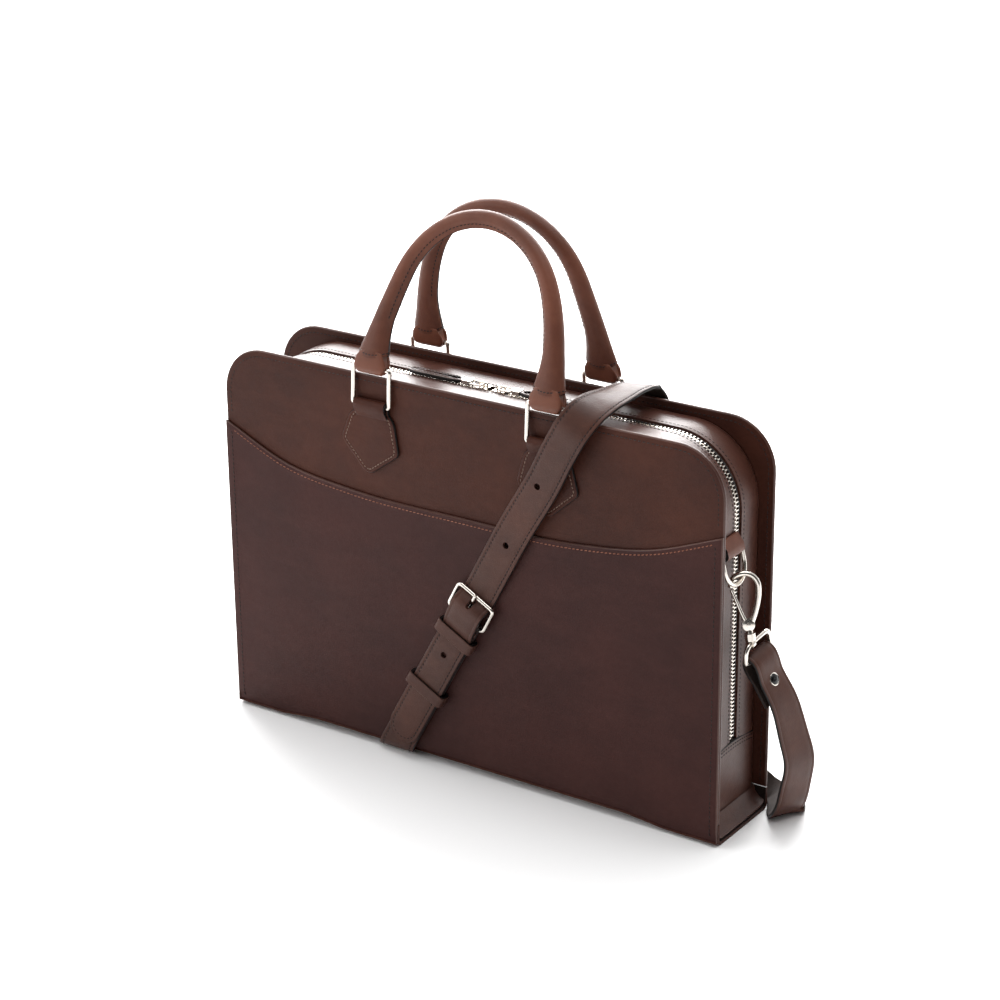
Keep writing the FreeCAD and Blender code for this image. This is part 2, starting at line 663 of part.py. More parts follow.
def strap_loop_shapes():
    """Strap end folded round its ring, closed with a round cap rivet."""
    wire = size("clip_wire")
    outer = ribbon([((c[0] + 1.3, c[1], c[2] + 0.4), w) for c, w in RIGHT_LOOP], STRAP_W, STRAP_T)
    inner_path = [(206.0, 2.4, 123.5), (211.3, 6, 108.5), (217.6, 9.0, 96)]
    widths = [across for centre, across in RIGHT_LOOP]
    inner = ribbon(list(zip(inner_path, widths)), STRAP_W, STRAP_T - 1.2)
    half = LOOP_ACROSS * (STRAP_W / 2)
    fold = tube(LOOP_BAR - half, LOOP_BAR + half, wire + RUN + 1.7, wire + RUN)
    room = Part.makeCylinder(wire + RUN, 60, LOOP_BAR - LOOP_ACROSS * 30, LOOP_ACROSS)
    loop = fuse([outer, inner, fold]).cut(room)
    spot = V(215.4, 5.8, 109.8)
    out = unit(V(0.9, -0.1, 0.42))
    rivet = fuse([Part.makeCylinder(3.6, 1.2, spot + out * 1.3, out),
                  Part.makeCylinder(1.4, 6.6, spot - out * 5.2, out),
                  Part.makeCylinder(3.2, 1, spot - out * 5.4, out)])
    return loop.cut(Part.makeCylinder(1.4, 12, spot - out * 8, out)).cut(rivet), rivet


def make_clips():
    tab, bar_x = side_tab_shape()
    ring = side_ring_shape(bar_x)
    body, gate = hook_shapes()
    swivel, strap_ring = swivel_shapes()
    loop, rivet = strap_loop_shapes()
    shapes = (("side_tab", tab), ("side_ring", ring), ("snap_hook", body), ("hook_gate", gate),
              ("swivel_eye", swivel), ("strap_ring", strap_ring),
              ("strap_loop", loop), ("strap_rivet", rivet))
    for name, shape in shapes:
        feature(name + "_right", shape)
        feature(name + "_left", mirrored_x(shape))


# ---------------------------------------------------------------- long strap and buckle
HEEL = V(6.5, -40, 119.7)
UPWARD = unit(V(0.482, 0, 0.876))
ACROSS = unit(V(0.876, 0, -0.482))
FORWARD = V(0, -1, 0)
FRONT_ACROSS = tuple(ACROSS)
UNDER_ACROSS = (0.876, 0.482, 0)
LONG_RUN_Y = -41.1
SHORT_RUN_Y = -38.4
FOLD_Y = -27
FOLD_Z = 12
UNDER_Z = 1.45
UNDER_LENGTH = 82


def strap_spot(along, y):
    """Point of the strap's middle line, measured from the buckle's heel bar."""
    point = HEEL + UPWARD * along
    return V(point.x, y, point.z)


def front_stations(pairs):
    return [(tuple(strap_spot(along, y)), FRONT_ACROSS) for along, y in pairs]


def strap_block(along, length, width, near_y, far_y):
    """Box lined up with the front strap, centred on it at a distance from the heel bar."""
    corner = strap_spot(along - length / 2, near_y) - ACROSS * (width / 2)
    return slab(corner, ACROSS * width, UPWARD * length, FORWARD * (near_y - far_y))


def fold_profile(run, lift):
    """Point of the bent sheet at a run below the fold's start, lifted off its middle surface."""
    wide = FOLD_Y - SHORT_RUN_Y + lift
    deep = FOLD_Z - UNDER_Z + lift
    quarter = (FOLD_Y - SHORT_RUN_Y + FOLD_Z - UNDER_Z) / 2 * math.pi / 2
    if run <= 0:
        return FOLD_Y - wide, FOLD_Z - run
    if run >= quarter:
        return FOLD_Y + run - quarter, FOLD_Z - deep
    angle = run / quarter * math.pi / 2
    return FOLD_Y - wide * math.cos(angle), FOLD_Z - deep * math.sin(angle)


def folded_row(distance, halves=(-1, -0.5, 0, 0.5, 1)):
    """Section of the short strap at a distance past the fold's start, bent like the sheet."""
    start = strap_spot((FOLD_Z - HEEL.z) / UPWARD.z, SHORT_RUN_Y)
    rims = []
    for lift, order in ((STRAP_T / 2, halves), (-STRAP_T / 2, halves[::-1])):
        for half in order:
            side = half * STRAP_W / 2
            y, z = fold_profile(distance * UPWARD.z - side * ACROSS.z, lift)
            rims.append(V(start.x - distance * UPWARD.x + side * ACROSS.x, y, z))
    return Part.makePolygon(rims + rims[:1])


def folded_strap():
    """Short strap from the buckle's heel bar down the front and under the bag."""
    top = (HEEL.z - FOLD_Z) / UPWARD.z
    distances = [-top] + [step * 2.5 - 7.5 for step in range(15)] + [UNDER_LENGTH]
    return Part.makeLoft([folded_row(distance) for distance in distances], True, True)


def under_end(gap):
    """Middle of the short strap's end under the bag, and a gap further on."""
    distance = UNDER_LENGTH + gap
    y, z = fold_profile(distance * UPWARD.z, 0)
    start = strap_spot((FOLD_Z - HEEL.z) / UPWARD.z, SHORT_RUN_Y)
    return V(start.x - distance * UPWARD.x, y, z)


def make_strap():
    """The long strap in its resting loop: right side, back, top, front, underside, left."""
    top = [((100, 34.2, 279.1), (0.987, 0, 0.14)), ((99.5, 30, 281.5), (0.995, 0, 0.1)),
           ((99.3, 20, 283.5), (1, 0, 0.04)), ((99.5, 0, 284.5), (0.995, 0, -0.08)),
           ((99.7, -22, 285), (0.965, 0, -0.26)), ((98.8, -35, 282.5), (0.93, 0, -0.367)),
           ((94, -43, 273.5), (0.89, 0, -0.456)), ((85.5, -43.2, 259), FRONT_ACROSS),
           ((69.2, -40.4, 229.3), FRONT_ACROSS)]
    feature("strap_top_run", ribbon(top, STRAP_W, STRAP_T))
    front = front_stations([(124.9, -40.35), (83, -38), (17.8, -38.1), (8, -43.3), (1.5, -44.3),
                            (-4.2, -44.3), (-12, LONG_RUN_Y), (-106.8, LONG_RUN_Y)])
    tip = Part.makeCylinder(STRAP_W / 2, STRAP_T, strap_spot(-106.8, LONG_RUN_Y + STRAP_T / 2),
                            FORWARD)
    holes = [Part.makeCylinder(size("hole_radius"), 20, strap_spot(along, -30), FORWARD)
             for along in (122.7, 68, -35.5, -62.5, -89.5)]
    slot = strap_block(6.5, 19, 4.4, -36, -50)
    feature("strap_front_run", fuse([ribbon(front, STRAP_W, STRAP_T), tip])
            .cut(Part.makeCompound(holes)).cut(slot))
    fold = tube(HEEL - ACROSS * (STRAP_W / 2), HEEL + ACROSS * (STRAP_W / 2), 2.8, 1.6)
    short = folded_strap()
    bar_room = Part.makeCylinder(1.6, 60, HEEL - ACROSS * 30, ACROSS)
    prong_room = strap_block(0, 11, 3.8, -36, -50)
    feature("strap_short_run", fuse([short, fold]).cut(bar_room).cut(prong_room))
    far = under_end(0.3)
    left = [(tuple(far), UNDER_ACROSS), ((far.x - 8, far.y + 12, UNDER_Z), (0.8, 0.6, 0)),
            ((-122, 58, UNDER_Z), (0.45, 0.89, 0)), ((-146, 62, UNDER_Z), (0, 1, 0)),
            ((-170, 59, 2.6), (-0.3, 0.95, 0)), ((-191, 54, 6), (-0.5, 0.86, 0)),
            ((-206, 47.5, 15), (-0.6, 0.8, 0)), ((-214, 38, 30), (-0.5, 0.86, 0)),
            ((-217.5, 26, 52), (-0.35, 0.93, 0.05)),
            ((-220, 13, 78), (-0.1, 0.99, 0.08)), ((-221.8, 9.9, 91.4), (-0.13, 0.98, 0.02))]
    feature("strap_drop_left", ribbon(left, STRAP_W, STRAP_T))
    right = [((222.2, 9.8, 91.6), (0.16, 0.98, 0)), ((228, 14, 70), (0.27, 0.96, 0)),
             ((230.7, 18, 51), (0.33, 0.94, 0)), ((226, 23, 28.5), (0.41, 0.91, 0)),
             ((221.5, 25.5, 12), (0.43, 0.9, 0)), ((216.5, 29, 3.6), (0.45, 0.89, 0)),
             ((210, 41.4, 2), (0.5, 0.86, 0)), ((200.5, 50.2, 2.2), (0.5, 0.86, 0)),
             ((188, 49, 4), (0.62, 0.75, 0.2)), ((176.5, 46.5, 9.5), (0.77, 0.5, 0.4)),
             ((169, 44.5, 20), (0.85, 0.3, 0.43)), ((166, 43.5, 33), (0.88, 0.18, 0.44))]
    feature("strap_drop_right", ribbon(right, STRAP_W, STRAP_T))
    back = [((164.5, 43, 42), (0.9, 0.1, 0.42)), ((158, 42.5, 70), (0.93, 0.08, 0.36)),
            ((150, 41, 105), (0.94, 0.05, 0.34)), ((106, 37.6, 262), (0.958, 0, 0.285)),
            ((103, 38.2, 272), (0.97, 0, 0.23))]
    feature("strap_back_run", ribbon(back, STRAP_W, STRAP_T))


def keeper(name, along):
    """Leather loop round both strap layers."""
    outer = strap_block(along, 9, STRAP_W + 7, -35.3, -44.2)
    inner = strap_block(along, 20, STRAP_W + 0.8, -36.9, -42.6)
    feature(name, outer.cut(inner))


def make_buckle():
    """Single-bar buckle with a prong, and the two keepers below it."""
    wire = size("clip_wire")
    half = 15.5
    rim = strap_spot(20.3, -41)
    points = [HEEL - ACROSS * half, HEEL + ACROSS * half, rim + ACROSS * half,
              rim - ACROSS * half]
    feature("buckle_frame", rod(points, wire, 2.8, closed=True))
    eye = tube(HEEL - ACROSS * 1.4, HEEL + ACROSS * 1.4, 2.5, wire + RUN)
    arm = rod([strap_spot(1.5, -41.6), strap_spot(14, -42), strap_spot(18.6, -44),
               strap_spot(22.5, -44)], 1.15, 4)
    point = Part.makeSphere(1.15, strap_spot(22.5, -44))
    room = Part.makeCylinder(wire + RUN, 10, HEEL - ACROSS * 5, ACROSS)
    feature("buckle_prong", fuse([eye, arm, point]).cut(room))
    keeper("keeper_fixed", -17.2)
    keeper("keeper_loose", -69.5)


# ---------------------------------------------------------------- build and write
def main():
    make_panels()
    make_front_pocket()
    make_inner_pocket()
    make_gussets()
    make_lower_gussets()
    make_zip()
    make_base()
    make_handles()
    make_sliders()
    make_clips()
    make_strap()
    make_buckle()
    DOC.recompute()
    for item in DOC.Objects:
        if "Invalid" in item.State or "Error" in item.State:
            raise RuntimeError(item.Label + " did not rebuild")
    to_origin = FreeCAD.Placement(V(-size("footprint_x"), -size("footprint_y"), 0),
                                  FreeCAD.Rotation())
    for item in NODES:
        item.Placement = to_origin.multiply(item.Placement)
    os.makedirs("parts", exist_ok=True)
    for item in NODES:
        shape = item.Shape
        if shape.isNull() or not shape.isValid() or shape.Volume <= 0:
            raise RuntimeError(item.Label + " is not a sound solid")
        shape.exportStep("parts/" + item.Label + ".step")
    print(len(NODES), "pieces written")


main()
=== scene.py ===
"""Looks of the slim leather briefcase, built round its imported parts.

Lengths are written in millimetres and turned into metres when a mesh is made.
+X is to the right along the front, +Y to the back, +Z up.
"""
import math
import bmesh
import bpy
import numpy as np
from mathutils import Matrix, Vector


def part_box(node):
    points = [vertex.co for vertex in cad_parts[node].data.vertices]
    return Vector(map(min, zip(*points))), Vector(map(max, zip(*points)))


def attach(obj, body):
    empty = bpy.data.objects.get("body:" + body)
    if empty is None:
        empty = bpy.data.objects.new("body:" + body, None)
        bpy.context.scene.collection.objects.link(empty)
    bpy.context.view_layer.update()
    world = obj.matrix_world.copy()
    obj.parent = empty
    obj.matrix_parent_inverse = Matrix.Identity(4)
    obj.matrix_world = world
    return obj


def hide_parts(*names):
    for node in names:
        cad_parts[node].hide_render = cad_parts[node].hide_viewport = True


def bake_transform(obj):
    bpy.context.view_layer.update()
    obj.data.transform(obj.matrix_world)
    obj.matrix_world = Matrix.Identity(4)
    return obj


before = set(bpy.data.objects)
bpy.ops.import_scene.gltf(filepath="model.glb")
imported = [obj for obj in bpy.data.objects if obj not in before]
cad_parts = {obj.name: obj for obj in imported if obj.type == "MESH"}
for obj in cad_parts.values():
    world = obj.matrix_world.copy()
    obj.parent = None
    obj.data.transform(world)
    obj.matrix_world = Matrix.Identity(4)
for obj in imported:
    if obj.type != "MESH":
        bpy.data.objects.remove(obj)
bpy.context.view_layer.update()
MM = 0.001

# Main sizes of the bag.
HALF_WIDTH = 200.0
TOP = 275.0
PANEL_BOTTOM = 16.3
FRONT_FACE = -33.0
PANEL_THICK = 2.4
CORNER = 34.0
GUSSET_X = 189.0
GUSSET_TOP = 268.0
GUSSET_RADIUS = 48.0
GUSSET_BOTTOM = 55.3
ZIP_Y = 4.0


def bag_shift():
    """Way from the bag's own middle, where it is drawn, to its place in the frame."""
    low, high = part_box("front_panel")
    middle = (low.x + high.x) / 2
    return np.round([middle / MM, low.y / MM - FRONT_FACE, 0.0], 2)


SHIFT = bag_shift()


def at(x, y, z):
    """Place on the bag, written in millimetres, as metres in the frame."""
    return tuple(((np.array((x, y, z), float) + SHIFT) * MM).tolist())


# ---------------------------------------------------------------- mesh helpers
def unit(vector):
    vector = np.asarray(vector, float)
    return vector / np.linalg.norm(vector)


def units(rows):
    return rows / np.linalg.norm(rows, axis=1)[:, None]


class Builder:
    """Collects the points, faces and material numbers of one piece."""

    def __init__(self):
        self.points = []
        self.faces = []
        self.numbers = []
        self.count = 0

    def add(self, points, faces, number=0):
        points = np.asarray(points, float).reshape(-1, 3)
        self.points.append(points)
        self.faces += [tuple(index + self.count for index in face) for face in faces]
        self.numbers += number if isinstance(number, list) else [number] * len(faces)
        self.count += len(points)

    def piece(self, name, materials, sharp=38):
        mesh = bpy.data.meshes.new(name)
        mesh.from_pydata(((np.concatenate(self.points) + SHIFT) * MM).tolist(), [], self.faces)
        shape = bmesh.new()
        shape.from_mesh(mesh)
        bmesh.ops.recalc_face_normals(shape, faces=shape.faces)
        shape.to_mesh(mesh)
        shape.free()
        for material in materials:
            mesh.materials.append(material)
        mesh.polygons.foreach_set("material_index", self.numbers)
        mesh.polygons.foreach_set("use_smooth", [True] * len(self.faces))
        mesh.set_sharp_from_angle(angle=math.radians(sharp))
        mesh.update()
        obj = bpy.data.objects.new(name, mesh)
        bpy.context.scene.collection.objects.link(obj)
        return obj


def quads_between(rows, across):
    """Four-sided faces between closed rows of points that follow one another."""
    faces = []
    for row in range(rows - 1):
        for k in range(across):
            a = row * across + k
            b = row * across + (k + 1) % across
            faces.append((a, b, b + across, a + across))
    return faces


def end_caps(rows, across):
    """Faces that close the first and the last row of points."""
    last = (rows - 1) * across
    return [tuple(range(across)), tuple(range(last, last + across))]


def loft(builder, sections, number=0, caps=True):
    """Skin over equal closed rows of points. Number may be a list with one entry per strip."""
    sections = np.asarray(sections, float)
    rows, across = sections.shape[:2]
    faces = quads_between(rows, across)
    numbers = (number if isinstance(number, list) else [number] * across) * (rows - 1)
    if caps:
        faces += end_caps(rows, across)
        numbers += [numbers[0]] * 2
    builder.add(sections, faces, numbers)


def repeat_shape(builder, blocks, rows, across):
    """Adds a small closed shape at every spot; blocks hold its points, row by row."""
    points = np.stack(blocks, axis=1)
    points[:, :, 2] = np.maximum(points[:, :, 2], STITCH_FLOOR)
    shape = quads_between(rows, across) + end_caps(rows, across)
    faces = [tuple(index + spot * rows * across for index in face)
             for spot in range(len(points)) for face in shape]
    builder.add(points.reshape(-1, 3), faces)


def grid_edge(rows, columns):
    """Numbers of a grid's border points, once round."""
    bottom = [column for column in range(columns)]
    right = [row * columns + columns - 1 for row in range(1, rows)]
    top = [(rows - 1) * columns + column for column in range(columns - 2, -1, -1)]
    left = [row * columns for row in range(rows - 2, 0, -1)]
    return bottom + right + top + left


def slab(builder, place, profile, bulge=None, numbers=(0, 1, 0)):
    """Sheet with rounded edges. place(inset) gives grids of x and z; profile lists (inset, y).

    The first profile point is the face that bulges; numbers are its, the rim's and the
    far face's materials.
    """
    grids = []
    for index, (inset, y) in enumerate(profile):
        x, z = place(inset)
        depth = np.full(x.shape, float(y))
        if index == 0 and bulge is not None:
            depth = depth + bulge(x, z)
        grids.append(np.stack([x, depth, z], axis=-1))
    rows, columns = grids[0].shape[:2]
    quads = [(r * columns + c, r * columns + c + 1, (r + 1) * columns + c + 1,
              (r + 1) * columns + c) for r in range(rows - 1) for c in range(columns - 1)]
    edge = grid_edge(rows, columns)
    first = grids[0].reshape(-1, 3)
    last = grids[-1].reshape(-1, 3)
    rims = [grid.reshape(-1, 3)[edge] for grid in grids[1:-1]]
    points = np.concatenate([first] + rims + [last])
    faces = list(quads)
    marks = [numbers[0]] * len(quads)
    loops = [edge]
    for index in range(len(rims)):
        start = len(first) + index * len(edge)
        loops.append(list(range(start, start + len(edge))))
    end = len(first) + len(rims) * len(edge)
    loops.append([end + index for index in edge])
    for one, two in zip(loops, loops[1:]):
        for index in range(len(edge)):
            following = (index + 1) % len(edge)
            faces.append((one[index], one[following], two[following], two[index]))
            marks.append(numbers[1])
    faces += [tuple(end + index for index in quad[::-1]) for quad in quads]
    marks += [numbers[2]] * len(quads)
    builder.add(points, faces, marks)


def arch_grid(half, bottom, top, radius, rows=44, middle=60, corner=12):
    """Grid that fills an arch outline, moved inwards by an inset."""
    def place(inset):
        inner = max(radius - inset, 0.5)
        straight = half - radius
        turn = np.linspace(0, math.pi / 2, corner + 1)[1:]
        arc_x = straight + inner * np.sin(turn)
        xs = np.concatenate([-arc_x[::-1], np.linspace(-straight, straight, middle), arc_x])
        arc_z = top - radius + inner * np.cos(turn)
        tops = np.concatenate([arc_z[::-1], np.full(middle, top - inset), arc_z])
        share = np.linspace(0, 1, rows)[:, None]
        low = bottom + inset
        return np.broadcast_to(xs, (rows, len(xs))), low + share * (tops - low)
    return place


def rounded_edge(near, far, radius):
    """Profile (inset, y) of a sheet's edge, rounded on both faces."""
    sign = 1 if far > near else -1
    turn = [0, 30, 60, 90]
    start = [(radius * (1 - math.sin(math.radians(a))),
              near + sign * radius * (1 - math.cos(math.radians(a)))) for a in turn]
    end = [(inset, far - (y - near)) for inset, y in start[::-1]]
    return start + end


def spline(rows, step):
    """Smooth curve through rows of numbers, sampled about every step along its first three."""
    rows = np.asarray(rows, float)
    chords = np.linalg.norm(np.diff(rows[:, :3], axis=0), axis=1)
    times = np.concatenate([[0], np.cumsum(chords)])
    slopes = np.gradient(rows, times, axis=0, edge_order=1)
    result = []
    for index, chord in enumerate(chords):
        count = max(2, int(round(chord / step)))
        for s in np.arange(count) / count:
            h00 = 2 * s ** 3 - 3 * s ** 2 + 1
            h10 = s ** 3 - 2 * s ** 2 + s
            h01 = 3 * s ** 2 - 2 * s ** 3
            h11 = s ** 3 - s ** 2
            result.append(h00 * rows[index] + h10 * chord * slopes[index]
                          + h01 * rows[index + 1] + h11 * chord * slopes[index + 1])
    result.append(rows[-1])
    return np.array(result)


def tangents(points):
    return units(np.gradient(points, axis=0))


def run_lengths(points):
    """Distance along a polyline at each of its points."""
    return np.concatenate([[0], np.cumsum(np.linalg.norm(np.diff(points, axis=0), axis=1))])


def sample(stops, lengths, rows):
    """Rows of three numbers looked up at distances along a path."""
    return np.stack([np.interp(stops, lengths, rows[:, axis]) for axis in range(3)], axis=1)


def evenly(path, normals):
    """Path and normals resampled to equal steps, so that both run at one pace."""
    lengths = run_lengths(path)
    stops = np.linspace(0, lengths[-1], 500)
    return sample(stops, lengths, path), sample(stops, lengths, normals)


def spaced(points, pitch):
    """Points and directions at equal steps along a polyline."""
    lengths = run_lengths(points)
    count = max(2, int((lengths[-1] - 2 * STITCH_MARGIN) / pitch) + 1)
    stops = np.linspace(STITCH_MARGIN, lengths[-1] - STITCH_MARGIN, count)
    ahead = sample(stops + 0.5, lengths, points)
    behind = sample(stops - 0.5, lengths, points)
    return sample(stops, lengths, points), units(ahead - behind + 1e-9), stops / lengths[-1]


STITCH_PITCH = 3.3
STITCH_LENGTH = 2.5
STITCH_RADIUS = 0.36
STITCH_MARGIN = 1.5
STITCH_SINK = 0.02
STITCH_FLOOR = 0.1


def stitches(builder, path, normals, pitch=STITCH_PITCH, slant=9):
    """Row of slightly slanted stitches along a path; normals is one vector or one per point."""
    spots, along, share = spaced(np.asarray(path, float), pitch)
    normals = np.asarray(normals, float)
    if normals.ndim == 2:
        normals = sample(share, np.linspace(0, 1, len(normals)), normals)
    normals = units(np.broadcast_to(normals, spots.shape))
    side = units(np.cross(normals, along))
    lean = math.radians(slant)
    run = along * math.cos(lean) + side * math.sin(lean)
    cross = units(np.cross(normals, run))
    rings = ((-0.5, 0.3, -0.55), (-0.3, 1, 0), (0.3, 1, 0), (0.5, 0.3, -0.55))
    sides = 6
    blocks = []
    for reach, share_of, drop in rings:
        centre = spots + run * reach * STITCH_LENGTH * pitch / STITCH_PITCH
        centre = centre + normals * (drop * STITCH_RADIUS - STITCH_SINK)
        radius = STITCH_RADIUS * share_of
        for angle in np.arange(sides) * 2 * math.pi / sides:
            blocks.append(centre + cross * radius * math.cos(angle)
                          + normals * radius * math.sin(angle))
    repeat_shape(builder, blocks, len(rings), sides)


def arch_path(half, bottom, top, radius):
    """Open path up the left side, over the top and down the right side, as (x, z)."""
    step = 3.0
    turn = np.linspace(0, math.pi / 2, 14)
    left = [(-half, z) for z in np.linspace(bottom, top - radius, 30)]
    corner = [(-half + radius - radius * math.cos(a), top - radius + radius * math.sin(a))
              for a in turn[1:]]
    flat = [(x, top) for x in np.linspace(radius - half, half - radius, int(2 * half / step))]
    half_path = left + corner + flat[1:]
    right = [(half - radius + radius * math.sin(a), top - radius + radius * math.cos(a))
             for a in turn[1:]] + [(half, z) for z in np.linspace(top - radius, bottom, 30)][1:]
    return np.array(half_path + right)


def in_plane(path, y):
    return np.stack([path[:, 0], np.full(len(path), float(y)), path[:, 1]], axis=1)


def carve(obj, cutters):
    """Cuts closed meshes out of a piece, and keeps its materials."""
    for cutter in cutters:
        change = obj.modifiers.new("cut", "BOOLEAN")
        change.operation = "DIFFERENCE"
        change.object = cutter
        change.solver = "EXACT"
    depsgraph = bpy.context.evaluated_depsgraph_get()
    depsgraph.update()
    cut = bpy.data.meshes.new_from_object(obj.evaluated_get(depsgraph))
    obj.modifiers.clear()
    obj.data = cut
    for cutter in cutters:
        bpy.data.objects.remove(cutter)
    cut.set_sharp_from_angle(angle=math.radians(35))
    return obj


# ---------------------------------------------------------------- materials
class Nodes:
    """Short way to write a material's nodes."""

    def __init__(self, name):
        self.material = bpy.data.materials.new(name)
        self.material.use_nodes = True
        self.tree = self.material.node_tree
        self.shader = self.tree.nodes["Principled BSDF"]
        self.where = self.tree.nodes.new("ShaderNodeTexCoord").outputs["Object"]

    def new(self, kind, inputs=None, **settings):
        node = self.tree.nodes.new(kind)
        for key, value in settings.items():
            setattr(node, key, value)
        for key, value in (inputs or {}).items():
            socket = node.inputs[key]
            if isinstance(value, bpy.types.NodeSocket):
                self.tree.links.new(value, socket)
            else:
                socket.default_value = value
        return node

    def noise(self, scale, detail=3, rough=0.55, where=None):
        return self.new("ShaderNodeTexNoise", {"Vector": where or self.where, "Scale": scale,
                                               "Detail": detail, "Roughness": rough}).outputs["Fac"]

    def cells(self, scale):
        return self.new("ShaderNodeTexVoronoi", {"Vector": self.where,
                                                 "Scale": scale}).outputs["Distance"]

    def stretched(self, scale):
        return self.new("ShaderNodeMapping", {"Vector": self.where, "Scale": scale}).outputs[0]

    def ramp(self, value, low, high, start=0.0, end=1.0):
        return self.new("ShaderNodeMapRange", {"Value": value, "From Min": low, "From Max": high,
                                               "To Min": start, "To Max": end}).outputs[0]

    def mix(self, share, one, two):
        node = self.new("ShaderNodeMix", data_type="RGBA")
        for socket, value in ((node.inputs[0], share), (node.inputs[6], one),
                              (node.inputs[7], two)):
            if isinstance(value, bpy.types.NodeSocket):
                self.tree.links.new(value, socket)
            else:
                socket.default_value = value
        return node.outputs[2]

    def sum(self, one, two, weight):
        return self.new("ShaderNodeMath", {0: two, 1: weight, 2: one},
                        operation="MULTIPLY_ADD").outputs[0]

    def link(self, value, name):
        self.tree.links.new(value, self.shader.inputs[name])

    def bump(self, height, depth, strength=1.0):
        node = self.new("ShaderNodeBump", {"Height": height, "Distance": depth,
                                           "Strength": strength})
        self.tree.links.new(node.outputs[0], self.shader.inputs["Normal"])

    def fixed(self, **values):
        for key, value in values.items():
            self.shader.inputs[key.replace("_", " ")].default_value = value


def colour(red, green, blue):
    """Display colour from 0 to 255 as linear light."""
    def linear(value):
        value = value / 255
        return value / 12.92 if value <= 0.04045 else ((value + 0.055) / 1.055) ** 2.4
    return (linear(red), linear(green), linear(blue), 1.0)


def leather(name, base, dark, light, rough, gloss):
    """Vegetable-tanned calf: cloudy colour, fine grain, faint creases and a soft shine."""
    n = Nodes(name)
    cloud = n.ramp(n.noise(16, 4), 0.32, 0.68)
    fleck = n.ramp(n.noise(240, 3), 0.35, 0.7)
    streak = n.ramp(n.noise(60, 5, 0.65, n.stretched((0.4, 1, 1))), 0.45, 0.8)
    tone = n.mix(cloud, dark, base)
    tone = n.mix(n.sum(0.0, streak, 0.45), tone, light)
    tone = n.mix(n.sum(0.0, fleck, 0.22), tone, dark)
    n.link(tone, "Base Color")
    grains = n.ramp(n.cells(1100), 0.0, 0.75)
    pores = n.noise(1700, 2)
    crease = n.ramp(n.noise(150, 6, 0.7), 0.4, 0.6)
    height = n.sum(n.sum(grains, pores, 0.6), crease, 0.5)
    n.bump(height, 0.00012, 0.55)
    n.link(n.ramp(n.sum(cloud, fleck, 0.5), 0.0, 1.5, rough - 0.05, rough + 0.08), "Roughness")
    n.fixed(Specular_IOR_Level=gloss)
    return n.material


def painted_edge():
    """Black edge paint with a slightly uneven, rounded skin."""
    n = Nodes("edge_paint")
    n.link(n.mix(n.noise(300), colour(14, 11, 11), colour(30, 23, 22)), "Base Color")
    n.bump(n.noise(700, 3), 0.00012, 0.4)
    n.link(n.ramp(n.noise(200), 0.3, 0.7, 0.38, 0.55), "Roughness")
    n.fixed(Specular_IOR_Level=0.3)
    return n.material


def thread(name, one, two):
    """Waxed thread with a fine twist."""
    n = Nodes(name)
    n.link(n.mix(n.ramp(n.noise(500), 0.35, 0.65), one, two), "Base Color")
    n.bump(n.noise(2600, 2), 0.0002, 0.6)
    n.link(n.ramp(n.noise(900), 0.3, 0.7, 0.5, 0.7), "Roughness")
    n.fixed(Specular_IOR_Level=0.3)
    return n.material


def woven(name, one, two, scale):
    """Plain weave: two crossed sets of yarns with a little dust in the colour."""
    n = Nodes(name)
    over = n.new("ShaderNodeTexWave", {"Vector": n.where, "Scale": scale, "Distortion": 0.4},
                 bands_direction="X").outputs["Fac"]
    under = n.new("ShaderNodeTexWave", {"Vector": n.where, "Scale": scale, "Distortion": 0.4},
                  bands_direction="Z").outputs["Fac"]
    weave = n.new("ShaderNodeMath", {0: over, 1: under}, operation="MAXIMUM").outputs[0]
    shade = n.mix(n.ramp(n.noise(90), 0.3, 0.7), one, two)
    n.link(n.mix(n.sum(0.0, weave, 0.35), two, shade), "Base Color")
    n.bump(weave, 0.00025, 0.7)
    n.link(n.ramp(n.noise(400), 0.3, 0.7, 0.75, 0.9), "Roughness")
    n.fixed(Sheen_Weight=0.25, Sheen_Roughness=0.5, Specular_IOR_Level=0.2)
    return n.material


def polished_metal():
    """Polished nickel with light handling marks."""
    n = Nodes("polished_nickel")
    n.link(n.mix(n.noise(90, 4), colour(226, 219, 210), colour(203, 196, 188)), "Base Color")
    marks = n.noise(900, 4, 0.6, n.stretched((1, 1, 0.25)))
    n.bump(marks, 0.00002, 0.3)
    n.link(n.ramp(marks, 0.35, 0.75, 0.13, 0.26), "Roughness")
    n.fixed(Metallic=1.0)
    return n.material


def dark_dome():
    """Black enamelled rivet cap."""
    n = Nodes("dark_enamel")
    n.link(n.mix(n.noise(300), colour(5, 5, 5), colour(12, 11, 12)), "Base Color")
    n.link(n.ramp(n.noise(700), 0.3, 0.7, 0.16, 0.3), "Roughness")
    n.bump(n.noise(1200, 2), 0.00002, 0.4)
    n.fixed(Specular_IOR_Level=0.35)
    return n.material


